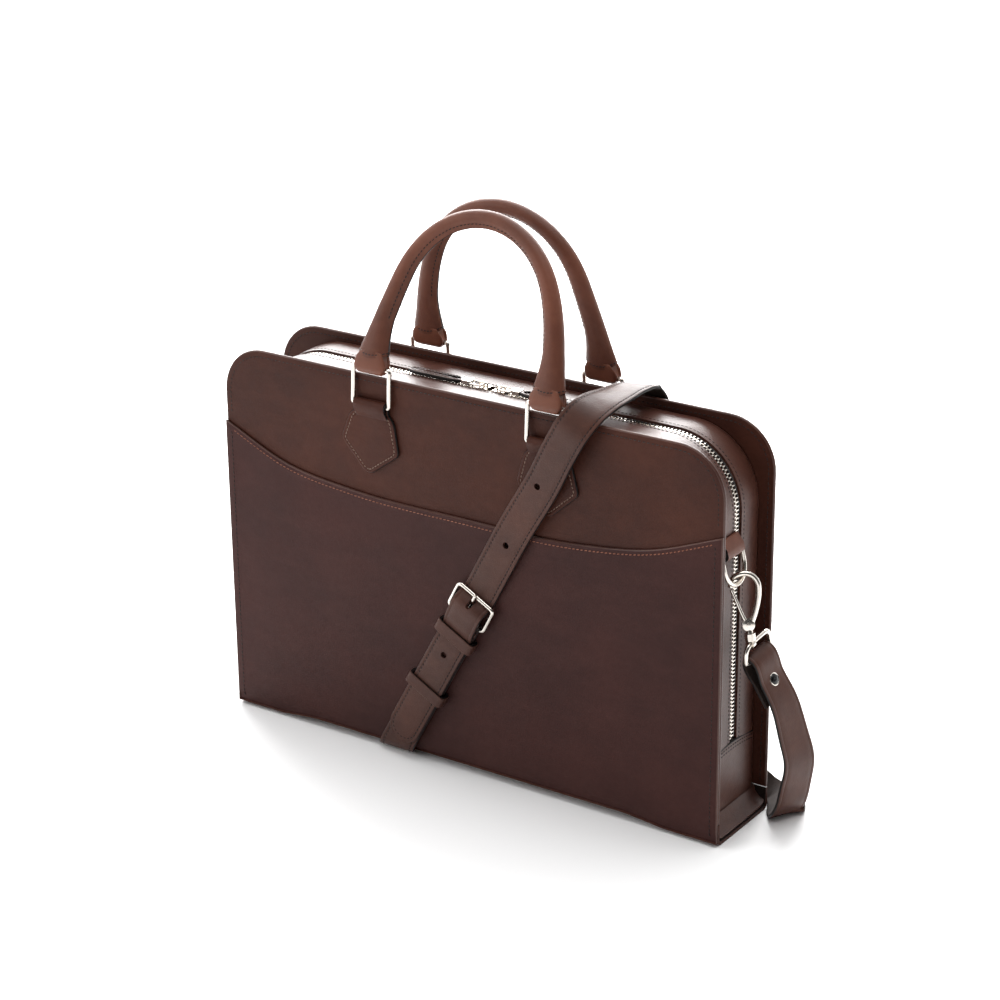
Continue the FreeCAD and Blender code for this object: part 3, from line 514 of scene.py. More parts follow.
PANEL = leather("panel_hide", colour(70, 38, 28), colour(54, 29, 23), colour(81, 46, 35),
                rough=0.46, gloss=0.11)
POCKET = leather("pocket_hide", colour(63, 37, 34), colour(52, 30, 28), colour(71, 43, 39),
                 rough=0.5, gloss=0.1)
# Gusset leather. On the panels' and the pocket's rims the same lighter colour stands in as a
# painted highlight on the rounded edges.
GUSSET_AND_RIM_HIGHLIGHT = leather("gusset_hide_and_rim_highlight", colour(82, 49, 39), colour(62, 36, 29), colour(94, 59, 47),
                 rough=0.36, gloss=0.4)
STRAP = leather("strap_hide", colour(78, 48, 39), colour(60, 38, 32), colour(90, 58, 47),
                rough=0.46, gloss=0.2)
HANDLE = leather("handle_hide", colour(108, 65, 50), colour(84, 50, 39), colour(122, 76, 59),
                 rough=0.42, gloss=0.2)
BAND = leather("band_hide", colour(120, 72, 54), colour(96, 57, 43), colour(132, 82, 62),
               rough=0.4, gloss=0.24)
BACKING = leather("hide_backing", colour(44, 32, 28), colour(30, 22, 20), colour(58, 43, 37),
                  rough=0.7, gloss=0.12)
PAINT = painted_edge()
THREAD = thread("dark_thread", colour(24, 16, 14), colour(42, 29, 25))
PALE_THREAD = thread("tan_thread", colour(112, 90, 78), colour(138, 114, 100))
LIGHT_THREAD = thread("russet_thread", colour(118, 70, 52), colour(146, 92, 70))
LINING = woven("lining_twill", colour(120, 98, 78), colour(92, 74, 58), 420)
TAPE = woven("zip_tape", colour(36, 26, 24), colour(22, 17, 16), 520)
CORD = woven("core_cord_yarn", colour(196, 186, 166), colour(160, 150, 130), 300)
BOARD = woven("stiff_board_fibre", colour(96, 84, 70), colour(70, 60, 50), 160)
NICKEL = polished_metal()
ENAMEL = dark_dome()


def settle(obj, body, slot, *nodes):
    """The piece rides on a body and stands for CAD nodes, which it hides. slot is not used."""
    if nodes:
        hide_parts(*nodes)
    if body:
        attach(obj, body)
    return obj


def sewn(name, rows, body, slot, material=THREAD):
    """Piece made of rows of stitches; each row holds what stitches() takes."""
    builder = Builder()
    for row in rows:
        stitches(builder, *row)
    return settle(builder.piece(name, [material]), body, slot)


# ---------------------------------------------------------------- panels and pocket
def base_lift(x):
    """Height of the bag's underside: it stands on both ends and bows up between them."""
    return np.interp(np.abs(x), [130, 160], [3, 0])


def waves(x, z, size=0.35):
    """Shallow unevenness of a broad sheet of leather."""
    slow = np.sin(x * 0.021 + z * 0.013 + 0.6) + np.sin(z * 0.037 - x * 0.011 + 2.1)
    quick = np.sin(x * 0.067 + 1.3) * np.sin(z * 0.059 + 0.4)
    return size * (0.5 * slow + 0.3 * quick)


def faded(x, z, low, high, half, reach=14.0):
    """1 in the middle of a sheet and 0 at its borders."""
    sides = np.clip((half - np.abs(x)) / reach, 0, 1)
    ends = np.clip(np.minimum(z - low, high - z) / reach, 0, 1)
    share = sides * ends
    return share * share * (3 - 2 * share)


def panel(name, face, sign, slot, node, body, rim_stitch):
    """Stiff panel with rounded edges; face is its outer side, sign points outwards. Its rim takes
    the lighter, glossier gusset leather as a painted highlight along the rounded edges.
    """
    builder = Builder()
    profile = rounded_edge(face, face - sign * PANEL_THICK, 1.05)
    place = arch_grid(HALF_WIDTH, PANEL_BOTTOM, TOP, CORNER)

    def bulge(x, z):
        return sign * waves(x, z) * faded(x, z, PANEL_BOTTOM, TOP, HALF_WIDTH)
    slab(builder, place, profile, bulge)
    # The rim is drawn in the lighter gusset leather: a painted highlight on the rounded edges, not
    # a leather of its own.
    obj = builder.piece(name, [PANEL, GUSSET_AND_RIM_HIGHLIGHT])
    settle(obj, body, slot, node)
    inset = 4.6
    path = arch_path(HALF_WIDTH - inset, rim_stitch, TOP - inset, CORNER - inset)
    outside = (in_plane(path, face + sign * 0.02), (0, sign, 0))
    inside = (in_plane(path, face - sign * (PANEL_THICK + 0.02)), (0, -sign, 0))
    sewn(name + "_stitches", (outside, inside), body, slot)


LIP = np.array([(-200, 219), (-146, 197), (-92, 189.8), (0, 188.5), (92, 190.6), (146, 199),
                (200, 219)], float)


def lip_height(x):
    """Height of the front pocket's lip at x."""
    curve = spline(in_plane(LIP, 0), 4)
    return np.interp(x, curve[:, 0], curve[:, 2])


def pocket_grid(inset, rows=40, columns=90):
    xs = np.linspace(inset - HALF_WIDTH, HALF_WIDTH - inset, columns)
    low = base_lift(xs) + 2.4 + inset
    high = lip_height(xs) - inset
    share = np.linspace(0, 1, rows)[:, None] ** 0.85
    return np.broadcast_to(xs, (rows, columns)), low + share * (high - low)


def pocket_bulge(x, z):
    """The pocket swells a little, gapes at its lip and tucks in at the bottom fold."""
    low = base_lift(x) + 2.4
    high = lip_height(x)
    swell = -0.5 * faded(x, z, low, high, HALF_WIDTH, 40)
    gape = -0.9 * np.clip(1 - (high - z) / 22, 0, 1) ** 2 * np.clip(1 - np.abs(x / 185), 0, 1)
    tuck = 1.9 * np.clip((low + 9 - z) / 9, 0, 1) ** 2
    return swell + gape + tuck - 0.7 * waves(x, z, 0.3) * faded(x, z, low, high, HALF_WIDTH)


def front_pocket():
    """Slip pocket with a stitched lip and stitched sides."""
    face = FRONT_FACE - 2.0
    builder = Builder()
    slab(builder, pocket_grid, rounded_edge(face, FRONT_FACE - 0.05, 0.85), pocket_bulge)
    # The rim is drawn in the lighter gusset leather: a painted highlight on the rounded edges.
    settle(builder.piece("front_pocket_leather", [POCKET, GUSSET_AND_RIM_HIGHLIGHT]), "front_shell",
           "pocket_leather", "front_pocket")
    xs = np.linspace(-193, 193, 240)
    below = lip_height(xs) - 3.4
    depth = face + pocket_bulge(xs, below)
    lip = (np.stack([xs, depth, below], axis=1), (0, -1, 0), 3.1)
    sewn("pocket_lip_stitches", [lip], "front_shell", "pocket_leather", LIGHT_THREAD)
    sides = []
    for x in (-194.6, 194.6):
        zs = np.linspace(7, lip_height(x) - 5, 60)
        across = np.full(60, x)
        depth = face + pocket_bulge(across, zs)
        sides.append((np.stack([across, depth, zs], axis=1), (0, -1, 0)))
    sewn("pocket_side_stitches", sides, "front_shell", "pocket_leather")


def linings():
    """Woven linings inside both panels, and the inner pocket with its hem."""
    inner = GUSSET_X - 10
    place = arch_grid(inner, 26, 258, 38, rows=20, middle=24, corner=8)
    for side, sign, body in (("front", -1, "front_shell"), ("back", 1, "rear_shell")):
        builder = Builder()
        near = sign * 30.0
        slab(builder, place, [(0.2, near), (0, near + sign * 0.1), (0, sign * 30.55),
                              (0.2, sign * 30.58)], numbers=(0, 0, 0))
        settle(builder.piece(side + "_lining_fabric", [LINING]), body, "lining_fabric",
               side + "_lining")
    builder = Builder()

    def pocket(inset):
        xs = np.linspace(inset - 140, 140 - inset, 40)
        zs = np.linspace(40 + inset, 200 - inset, 24)
        return np.meshgrid(xs, zs)
    slab(builder, pocket, [(0.3, 28.8), (0, 29.1), (0, 29.7), (0.3, 29.95)],
         lambda x, z: -0.6 * faded(x, z, 40, 200, 140, 60), (0, 0, 0))
    hem = np.stack([np.linspace(-138, 138, 60), np.full(60, 28.75), np.full(60, 192.0)], axis=1)
    settle(builder.piece("inner_pocket_fabric", [LINING]), "rear_shell", "lining_fabric",
           "inner_pocket")
    sewn("inner_pocket_stitches", [(hem, (0, -1, 0))], "rear_shell", "lining_fabric")


# ---------------------------------------------------------------- gussets, zip and base
def gusset_path():
    """The gusset's outline with its outward normals, as rows of x and z."""
    step = 2.5
    turn = np.linspace(0, math.pi / 2, 30)
    centre_x = GUSSET_X - GUSSET_RADIUS
    centre_z = GUSSET_TOP - GUSSET_RADIUS
    rows = [(-GUSSET_X, z, -1, 0) for z in np.arange(GUSSET_BOTTOM, centre_z, step)]
    rows += [(-centre_x - GUSSET_RADIUS * math.cos(a), centre_z + GUSSET_RADIUS * math.sin(a),
              -math.cos(a), math.sin(a)) for a in turn]
    rows += [(x, GUSSET_TOP, 0, 1) for x in np.arange(step - centre_x, centre_x, step)]
    rows += [(centre_x + GUSSET_RADIUS * math.sin(a), centre_z + GUSSET_RADIUS * math.cos(a),
              math.sin(a), math.cos(a)) for a in turn]
    rows += [(GUSSET_X, z, 1, 0) for z in np.arange(centre_z - step, GUSSET_BOTTOM, -step)]
    rows += [(GUSSET_X, GUSSET_BOTTOM, 1, 0)]
    return np.array(rows)


def along_gusset(profile):
    """Sections of a profile of (lift, y) swept along the gusset's outline."""
    rows = gusset_path()
    return np.array([[(x + nx * lift, y, z + nz * lift) for lift, y in profile]
                     for x, z, nx, nz in rows])


def gusset_line(lift, y):
    """Line along the gusset's outline, lifted off it, with its outward normals."""
    rows = gusset_path()
    flat = np.zeros(len(rows))
    normals = np.stack([rows[:, 2], flat, rows[:, 3]], axis=1)
    path = np.stack([rows[:, 0], flat + y, rows[:, 1]], axis=1) + normals * lift
    return evenly(path, normals)


def gusset(side, sign, near, far):
    """Leather strip from the panel to the zip, with its flange inside and a folded edge."""
    body = side + "_shell"
    outer = [(-10, near), (-0.9, near), (-0.3, near - sign * 0.4)]
    steps = np.linspace(0.04, 0.96, 9)
    crown = [(0.55 * math.sin(math.pi * s), near + (far - near) * s) for s in steps]
    edge = [(-0.12, far), (-0.9, far + sign * 0.12), (-1.7, far)]
    under = [(-1.8, far + sign * 1.2), (-1.8, near - sign * 1.9), (-10, near - sign * 1.8)]
    builder = Builder()
    loft(builder, along_gusset(outer + crown + edge + under))
    settle(builder.piece(side + "_gusset_leather", [GUSSET_AND_RIM_HIGHLIGHT]), body, "panel_leather",
           side + "_gusset")
    row = (*gusset_line(0.1, far + sign * 2.6), 3.0)
    sewn(side + "_gusset_stitches", [row], body, "panel_leather")


def zip_parts():
    """Woven tapes with a raised cord, and single metal teeth that mesh in the middle."""
    top = -1.85
    for side, sign, body in (("front", -1, "front_shell"), ("rear", 1, "rear_shell")):
        inner = ZIP_Y + sign * 2.3
        outer = ZIP_Y + sign * 12
        profile = [(top, outer), (top, ZIP_Y + sign * 4), (top + 0.35, ZIP_Y + sign * 3.2),
                   (top + 0.3, inner + sign * 0.2), (top - 0.3, inner),
                   (top - 1.0, inner + sign * 0.3), (top - 0.75, outer)]
        builder = Builder()
        loft(builder, along_gusset(profile))
        settle(builder.piece("zip_tape_" + side + "_weave", [TAPE]), body, "tape_fabric",
               "zip_tape_" + side)
        teeth = Builder()
        add_teeth(teeth, sign)
        settle(teeth.piece("zip_teeth_" + side + "_metal", [NICKEL], 25), body, "nickel",
               "zip_teeth_" + side)


TOOTH_PITCH = 2.7


def add_teeth(builder, sign):
    """One row of teeth; sign says on which side of the zip's middle they are rooted."""
    path, normals = gusset_line(-2.2, ZIP_Y)
    start = 1.6 if sign < 0 else 1.6 + TOOTH_PITCH / 2
    lengths = run_lengths(path)
    stops = np.arange(start, lengths[-1] - 2, TOOTH_PITCH)
    spots = sample(stops, lengths, path)
    ups = units(sample(stops, lengths, normals))
    runs = np.cross(np.array([0.0, 1.0, 0.0]), ups)
    profile = ((3.1, 0.5, 1.0), (1.9, 0.55, 1.15), (0.9, 0.45, 1.1), (0.1, 0.74, 1.0),
               (-0.55, 0.7, 0.9), (-0.85, 0.35, 0.6))
    section = ((-1, -0.6), (-0.7, -1), (0.7, -1), (1, -0.6), (1, 0.6), (0.7, 1), (-0.7, 1),
               (-1, 0.6))
    blocks = []
    for reach, wide, tall in profile:
        for a, b in section:
            blocks.append(spots + np.array([0, sign * reach, 0]) + runs * (a * wide)
                          + ups * (b * tall))
    repeat_shape(builder, blocks, len(profile), len(section))


END_HALF = 30.2
END_BOTTOM = 9.6
END_FACE = 189.75


def end_top(y):
    """Height of a gusset end's upper edge, which arches between the shells."""
    return 56.5 + 3.2 - 3.2 * (y / END_HALF) ** 2


def lower_gussets():
    """Gusset ends below the zip, between the two shells, baked in place."""
    ys = np.linspace(-END_HALF, END_HALF, 41)
    share = np.linspace(0, 1, 18)[:, None]
    grid_y = np.broadcast_to(ys, (18, 41))
    grid_z = END_BOTTOM + share * (end_top(ys) - END_BOTTOM)
    slack = 0.5 * np.cos(grid_y / END_HALF * math.pi / 2) * np.sin(share * math.pi)

    def place(inset):
        middle = 33.0
        return grid_y * (1 - inset / END_HALF), middle + (grid_z - middle) * (1 - inset / 24)
    flange = ((187.4, END_HALF), (180, END_HALF), (180, 28.6), (187.4, 28.6))
    seam = np.linspace(-28.5, 28.5, 60)
    for side, sign in (("right", 1), ("left", -1)):
        builder = Builder()
        slab(builder, place, rounded_edge(END_FACE, END_FACE - 2.4, 0.7), lambda x, z: slack)
        turn(builder, sign)
        for edge in (-1, 1):
            loft(builder, [[(sign * x, edge * y, z) for x, y in flange]
                           for z in np.linspace(10, 54, 12)])
        piece = builder.piece("lower_gusset_" + side + "_leather", [GUSSET_AND_RIM_HIGHLIGHT, PAINT])
        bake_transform(settle(piece, None, "panel_leather", "lower_gusset_" + side))
        face = np.full(60, sign * (END_FACE + 0.08))
        rows = [(np.stack([face, seam, end_top(seam) - drop], axis=1), (sign, 0, 0), 3.0)
                for drop in (2.4, 5.0)]
        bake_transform(sewn("lower_gusset_" + side + "_stitches", rows, None, "panel_leather"))


def turn(builder, sign):
    """Turns a slab drawn facing y into one that faces sign * x."""
    points = builder.points[-1]
    x, y, z = points.T.copy()
    builder.points[-1] = np.stack([sign * y, x, z], axis=1)


def base():
    """Leather base that folds up at the front and back, and its inner side."""
    xs = np.concatenate([np.linspace(-200, -160, 14), np.linspace(-157, -130, 10),
                         np.linspace(-125, 125, 40), np.linspace(130, 157, 10),
                         np.linspace(160, 200, 14)])
    radius = 5.0
    thick = 2.4
    turn_steps = np.radians(np.linspace(0, 90, 7))

    def half(sign, inset):
        r = radius - inset
        return [(sign * (28 + r * math.cos(a)), radius - r * math.sin(a)) for a in turn_steps]
    outer = [(-32.75, 15.9), (-33, 15.4)] + half(-1, 0) + half(1, 0)[::-1]
    outer += [(33, 15.4), (32.75, 15.9)]
    inner = [(30.9, 15.9), (30.6, 15.3)] + half(1, thick) + half(-1, thick)[::-1]
    inner += [(-30.6, 15.3), (-30.9, 15.9)]
    sections = []
    for x in xs:
        lift = float(base_lift(x))
        rows = []
        for y, z in outer + inner:
            share = np.clip((15 - z) / 10, 0, 1)
            rows.append((x, y, z + lift * share))
        sections.append(rows)
    builder = Builder()
    numbers = [0] * (len(outer) - 1) + [1] + [2] * (len(inner) - 1) + [1]
    loft(builder, sections, numbers)
    settle(builder.piece("base_leather", [PANEL, PAINT, BACKING]), "front_shell",
           "panel_leather", "base_wrap")


def base_ends():
    """Leather that closes the base's ends, below the gussets."""
    for side, sign in (("right", 1), ("left", -1)):
        sections = []
        for y in np.linspace(-END_HALF, END_HALF, 31):
            lift = 2.4 * np.clip((abs(y) - 25) / 5, 0, 1) ** 2
            rows = [(190.5, 15), (192.2, 10), (195.5, 6.4), (199.0, 4.6), (199.2, 3.6),
                    (195, 3.9), (191.6, 6.5), (190.5, 10)]
            sections.append([(sign * x, y, z + lift) for x, z in rows])
        builder = Builder()
        loft(builder, sections)
        settle(builder.piece("base_end_" + side, [GUSSET_AND_RIM_HIGHLIGHT]), "front_shell", "panel_leather")


# ---------------------------------------------------------------- tabs that hold the rings
def outline_sheet(builder, outline, near, far, crease=2.6):
    """Leather cut to an outline of x and z, with a bevelled edge and a pressed border line."""
    outline = np.asarray(outline, float)
    ahead = np.roll(outline, -1, axis=0)
    behind = np.roll(outline, 1, axis=0)
    run = units(ahead - behind)
    inward = np.stack([-run[:, 1], run[:, 0]], axis=1)
    area = np.sum(outline[:, 0] * ahead[:, 1] - ahead[:, 0] * outline[:, 1])
    inward = inward if area > 0 else -inward
    sign = 1 if far > near else -1
    steps = [(0.5, far), (0, far - sign * 0.5), (0, near + sign * 0.7), (0.35, near + sign * 0.25),
             (0.9, near), (crease - 0.5, near), (crease, near + sign * 0.22),
             (crease + 0.5, near), (crease + 1.2, near - sign * 0.06)]
    sections = [[(x, y, z) for x, z in outline + inward * inset] for inset, y in steps]
    rows = len(steps)
    count = len(outline)
    painted = 3
    numbers = [1] * painted * count + [0] * (rows - 1 - painted) * count + [1, 0]
    builder.add(sections, quads_between(rows, count) + end_caps(rows, count), numbers)


def rounded(corners, radii, steps=7):
    """Outline through corners, each rounded by its own radius."""
    corners = [np.array(corner, float) for corner in corners]
    result = []
    count = len(corners)
    for index, corner in enumerate(corners):
        before = unit(corners[index - 1] - corner)
        after = unit(corners[(index + 1) % count] - corner)
        reach = radii[index]
        start = corner + before * reach
        end = corner + after * reach
        for s in np.linspace(0, 1, steps):
            result.append((1 - s) ** 2 * start + 2 * s * (1 - s) * corner + s * s * end)
        following = corners[(index + 1) % count]
        finish = following - after * radii[(index + 1) % count]
        gap = np.linalg.norm(finish - end)
        for s in np.linspace(0, 1, max(2, int(gap / 2.5)))[1:-1]:
            result.append(end + (finish - end) * s)
    return np.array(result)


def wrap(builder, outer, inner, half, legs, frame_axes):
    """Strip of leather folded over a bar.

    Legs are (depth, drop) of the front and back leg's ends, as (outer, inner) pairs, in a
    plane with its origin on the bar: depth away from the bag and drop below the bar.
    """
    origin, along, depth_axis, up_axis = (np.asarray(v, float) for v in frame_axes)
    turn_steps = np.radians(np.linspace(0, 180, 15))
    front, back = legs
    outside = [(front[0][0], -front[0][1])]
    outside += [(front[0][0] + (outer - front[0][0]) * 0.8, -front[0][1] * 0.4)]
    outside += [(outer * math.cos(a), outer * math.sin(a)) for a in turn_steps]
    outside += [(back[0][0], -back[0][1])]
    inside = [(back[1][0], -back[1][1])]
    inside += [(inner * math.cos(a), inner * math.sin(a)) for a in turn_steps[::-1]]
    inside += [(front[1][0] + (inner - front[1][0]) * 0.8, -front[1][1] * 0.4)]
    inside += [(front[1][0], -front[1][1])]
    stations = [(-1, 0.3), (-0.985, 0), (-0.5, 0), (0, 0), (0.5, 0), (0.985, 0), (1, 0.3)]
    sections = []
    middle_radius = (outer + inner) / 2
    for share, shrink in stations:
        row = []
        for depth, rise in outside + inside:
            reach = math.hypot(depth, rise)
            scale = 1
            if shrink and rise > -1:
                scale = 1 + (middle_radius - reach) / max(reach, 0.1) * shrink
            row.append(origin + along * (half * share) + depth_axis * depth * scale
                       + up_axis * rise * scale)
        sections.append(row)
    rows = len(stations)
    count = len(sections[0])
    faces = quads_between(rows, count)
    numbers = [1] * count + [0] * (rows - 3) * count + [1] * count
    for start in (0, (rows - 1) * count):
        for k in range((count - 2) // 2):
            faces.append((start + k, start + k + 1, start + count - 2 - k, start + count - 1 - k))
            numbers.append(1)
    builder.add(sections, faces, numbers)


RING_BASE = 255.0
RING_BAR = 36.3


def tipped(outline, degrees):
    """Outline swung about its neck, so that its point moves to the left."""
    angle = math.radians(-degrees) * np.clip((252 - outline[:, 1]) / 10, 0, 1)
    x = outline[:, 0]
    z = outline[:, 1] - 252
    return np.stack([x * np.cos(angle) - z * np.sin(angle),
                     x * np.sin(angle) + z * np.cos(angle) + 252], axis=1)


def chapes():
    """Shield-shaped tabs, sewn on all round, with a neck folded round the ring."""
    corners = [(-12.6, 256), (-12.8, 250), (-18.4, 245), (-24, 224), (-3, 205.2), (3, 205.2),
               (24, 224), (18.4, 245), (12.8, 250), (12.6, 256)]
    radii = [0.5, 2, 4, 3.5, 2.5, 2.5, 3.5, 4, 2, 0.5]
    outline = rounded(corners, radii)
    inset_line = rounded([(-13, 247.5), (-15.6, 243.8), (-21, 224.8), (-1.8, 208), (1.8, 208),
                          (21, 224.8), (15.6, 243.8), (13, 247.5)],
                         [0.5, 3, 3, 2, 2, 3, 3, 0.5])
    for side, sign, offset in (("front", -1, -1.0), ("rear", 1, -2.5)):
        for end, x in (("left", -70), ("right", 70)):
            builder = Builder()
            shift = np.array([x + offset, 0.0])
            near = sign * (33 + 2.3)
            tip = 6.0 if (side, end) == ("front", "left") else 0.0
            outline_sheet(builder, tipped(outline, tip) + shift, near, sign * 32.9)
            axes = ((x + offset, sign * RING_BAR, RING_BASE), (1, 0, 0), (0, sign, 0), (0, 0, 1))
            wrap(builder, 3.75, 1.85, 12.7,
                 (((-0.9, 9.5), (-2.4, 9.5)), ((-3.3, 7), (-1.85, 7))), axes)
            piece = builder.piece(side + "_chape_" + end + "_leather", [PANEL, PAINT])
            settle(piece, side + "_shell", "panel_leather", side + "_chape_" + end)
            line = tipped(inset_line, tip)
            path = in_plane(np.concatenate([line, line[:1]]) + shift, near)
            sewn(side + "_chape_" + end + "_stitches", [(path, (0, sign, 0), 2.7, 5)],
                 side + "_shell", "panel_leather", PALE_THREAD)


def side_tabs():
    """Short tabs on the gussets that carry the D-rings."""
    for side, sign in (("right", 1), ("left", -1)):
        builder = Builder()
        axes = ((sign * 192.2, -10, 200), (0, 1, 0), (sign, 0, 0), (0, 0, -1))
        wrap(builder, 4.1, 1.62, 10.4,
             (((-1.2, 9.5), (-2.2, 9.5)), ((-3.1, 9), (-2.3, 9))), axes)
        settle(builder.piece("side_tab_" + side + "_leather", [HANDLE, PAINT]), "front_shell",
               "strap_leather", "side_tab_" + side)


# ---------------------------------------------------------------- handles
HANDLE_X = 70.0
HANDLE_RISE = 108.0
RING_TOP = (0.0, -34.8, 281.0)


def handle_line():
    """Middle line of a handle in its own frame: rows of x, z and the inward direction."""
    step = 2.2
    side_radius = 110.0
    slope = math.radians(25)
    top_radius = (HANDLE_X - side_radius * (1 - math.cos(slope))) / math.cos(slope)
    leg_top = (HANDLE_RISE - top_radius * (1 - math.sin(slope))
               - side_radius * math.sin(slope))
    rows = [(HANDLE_X, z, -1, 0) for z in np.arange(6.5, leg_top, step)]
    for a in np.arange(0, slope, step / side_radius):
        rows.append((HANDLE_X - side_radius * (1 - math.cos(a)),
                     leg_top + side_radius * math.sin(a), -math.cos(a), -math.sin(a)))
    for a in np.arange(slope, math.pi / 2, step / top_radius):
        rows.append((top_radius * math.cos(a), HANDLE_RISE - top_radius * (1 - math.sin(a)),
                     -math.cos(a), -math.sin(a)))
    rows.append((0, HANDLE_RISE, 0, -1))
    right = np.array(rows)
    left = right[:-1][::-1] * np.array([-1, 1, -1, 1])
    return np.concatenate([right, left])


def handle_section(height, angle):
    """Offsets inwards and across of a handle's skin at a height above the ring."""
    heights = [6, 12, 17, 24, 34, 50, 85, 108]
    wide = np.interp(height, heights, [11.9, 11.3, 10.4, 9.0, 7.6, 6.9, 5.6, 5.0])
    deep = np.interp(height, heights, [5.7, 5.8, 5.8, 6.1, 6.4, 6.4, 5.7, 5.2])
    lip = np.interp(height, [14, 30, 45], [0, 1.0, 1.7]) * math.exp(-(angle / 0.34) ** 2)
    return (wide + lip) * math.cos(angle), deep * math.sin(angle)


def stand(points, prefix):
    """Moves points from a handle's own frame to its place on the bag."""
    lean = math.radians(17.5 if prefix == "front" else 5)
    offset = -1.0 if prefix == "front" else -2.5
    drift, rise = (2.5, 3.0) if prefix == "front" else (-3.5, -1.0)
    x, y, z = np.asarray(points, float).reshape(-1, 3).T
    share = np.clip(z / 60, 0, 1)
    share = share * share * (3 - 2 * share)
    x = x * (1 - 0.055 * share) + drift * share
    z = z + rise * (z / HANDLE_RISE) ** 2
    across = y * math.cos(lean) + z * math.sin(lean) + RING_TOP[1]
    up = -y * math.sin(lean) + z * math.cos(lean) + RING_TOP[2]
    sign = 1 if prefix == "front" else -1
    return np.stack([x + offset, across * sign, up], axis=1)


def grip_point(row, angle, lift=0.0):
    """Point of the grip's skin at one row of the middle line; the ends are cut in a curve."""
    x, z, inward_x, inward_z = row
    near, across = handle_section(z, angle)
    near += lift * math.cos(angle)
    across += lift * math.sin(angle)
    trim = 3.6 * math.cos(angle) ** 2 * np.clip((21 - z) / 14, 0, 1) ** 1.5
    return x + inward_x * near, across, z + inward_z * near + trim


def grip(prefix):
    """Rolled leather grip with its edges sewn together along the inner side."""
    rows = handle_line()
    count = 30
    angles = [(-math.pi + 2 * math.pi * k / count) for k in range(count)]
    angles = sorted(angles + [-0.12, 0.12, -0.3, 0.3])
    sections = [[grip_point(row, a) for a in angles] for row in rows]
    numbers = []
    for k, angle in enumerate(angles):
        following = angles[(k + 1) % len(angles)]
        numbers.append(1 if abs(angle) <= 0.121 and abs(following) <= 0.121 else 0)
    builder = Builder()
    loft(builder, sections, numbers, caps=False)
    for end, row in ((0, rows[0]), (len(rows) - 1, rows[-1])):
        rim = np.array(sections[end])
        inner = np.array([grip_point(row, a, -1.5) for a in angles])
        above = rows[4] if end == 0 else rows[-5]
        deep = np.array([grip_point(above, a, -1.6) for a in angles])
        loft(builder, [rim, inner, deep], 1, caps=False)
    points = np.concatenate(builder.points)
    builder.points = [stand(points, prefix)]
    obj = builder.piece(prefix + "_handle_leather", [HANDLE, PAINT])
    settle(obj, prefix + "_handle", "handle_leather", prefix + "_handle_grip")
    handle_stitches(prefix, rows)


def handle_stitches(prefix, rows):
    """Rows of stitches beside the sewn edge and across the ends of the legs."""
    def row_on_skin(spots, pitch):
        path = stand([grip_point(row, angle, 0.05) for row, angle in spots], prefix)
        away = stand([grip_point(row, angle, 1.05) for row, angle in spots], prefix)
        return (*evenly(path, away - path), pitch)
    seams = [[(row, angle) for row in rows if row[1] > 33] for angle in (-0.62, 0.62)]
    turns = np.linspace(-math.pi, math.pi, 60)
    ends = [[(row, angle) for angle in turns] for row in (rows[1], rows[-2])]
    sewn(prefix + "_handle_stitches", [row_on_skin(spots, 2.9) for spots in seams]
         + [row_on_skin(spots, 2.6) for spots in ends], prefix + "_handle", "handle_leather")


def handle_cord(prefix):
    """Twisted cord that fills the grip."""
    turns = np.linspace(-math.pi, math.pi, 17)[:-1]
    sections = []
    for x, z, inward_x, inward_z in handle_line():
        if z > 30:
            sections.append([(x + inward_x * 3.2 * math.cos(a), 3.2 * math.sin(a),
                              z + inward_z * 3.2 * math.cos(a)) for a in turns])
    builder = Builder()
    loft(builder, sections)
    builder.points = [stand(builder.points[0], prefix)]
    settle(builder.piece(prefix + "_handle_cord", [CORD]), prefix + "_handle", "core_cord",
           prefix + "_handle_core")


def handle_bands(prefix):
    """Soft leather saddles that wrap the ring bars and run up into the grip."""
    turn_steps = np.radians(np.linspace(0, 180, 15))
    front = [(-3.9 - 0.06 * h, h) for h in (11, 9, 7, 5, 3, 1)]
    under = [(-3.95 * math.cos(a), -4.2 * math.sin(a)) for a in turn_steps]
    shell = front + under + [(-y, h) for y, h in front[::-1]]
    shell += [(y, 11.5) for y in (2.6, 0, -2.6)]
    ends = ((1, 0.6), (0.985, 0.78), (0.94, 0.9), (0.85, 0.97), (0.6, 1))
    stations = [(-share, size) for share, size in ends] + [(0, 1)] + list(ends[::-1])
    for end, x in (("left", -HANDLE_X), ("right", HANDLE_X)):
        outer = []
        bore = []
        for share, size in stations:
            row = []
            for y, h in shell:
                swell = 1 + 0.22 * (1 - share ** 2) * np.clip((h + 3) / 5, 0, 1)
                wide = np.interp(h, [-4.4, -1.5, 2, 7, 11], [10.6, 12.3, 12.8, 12.0, 9.5])
                row.append((x + share * wide, y * size * swell, 3 + (h - 3) * size))
            outer.append(row)
            bore.append([(x + share * 12.3, 1.85 * y / math.hypot(y, h),
                          1.85 * h / math.hypot(y, h)) for y, h in shell])
        builder = Builder()
        loft(builder, outer, caps=False)
        loft(builder, bore, caps=False)
        for index in (0, -1):
            loft(builder, [outer[index], bore[index]], caps=False)
        builder.points = [stand(points, prefix) for points in builder.points]
        settle(builder.piece(prefix + "_handle_band_" + end, [BAND], 50),
               prefix + "_handle", "handle_leather")


# ---------------------------------------------------------------- shoulder strap
STRAP_WIDTH = 25.4
STRAP_THICK = 2.4
STRAP_SEAM = 3.0
STRAP_PITCH = 3.1
STRAP_HOLES = (122.7, 68, -35.5)
HEEL = np.array((6.5, -40, 119.7))
UPWARD = unit((0.482, 0, 0.876))
ACROSS = unit((0.876, 0, -0.482))
SHORT_RUN_Y = -38.4
FOLD_Y = -27.0
FOLD_Z = 12.0
UNDER_Z = 1.45
UNDER_LENGTH = 82.0


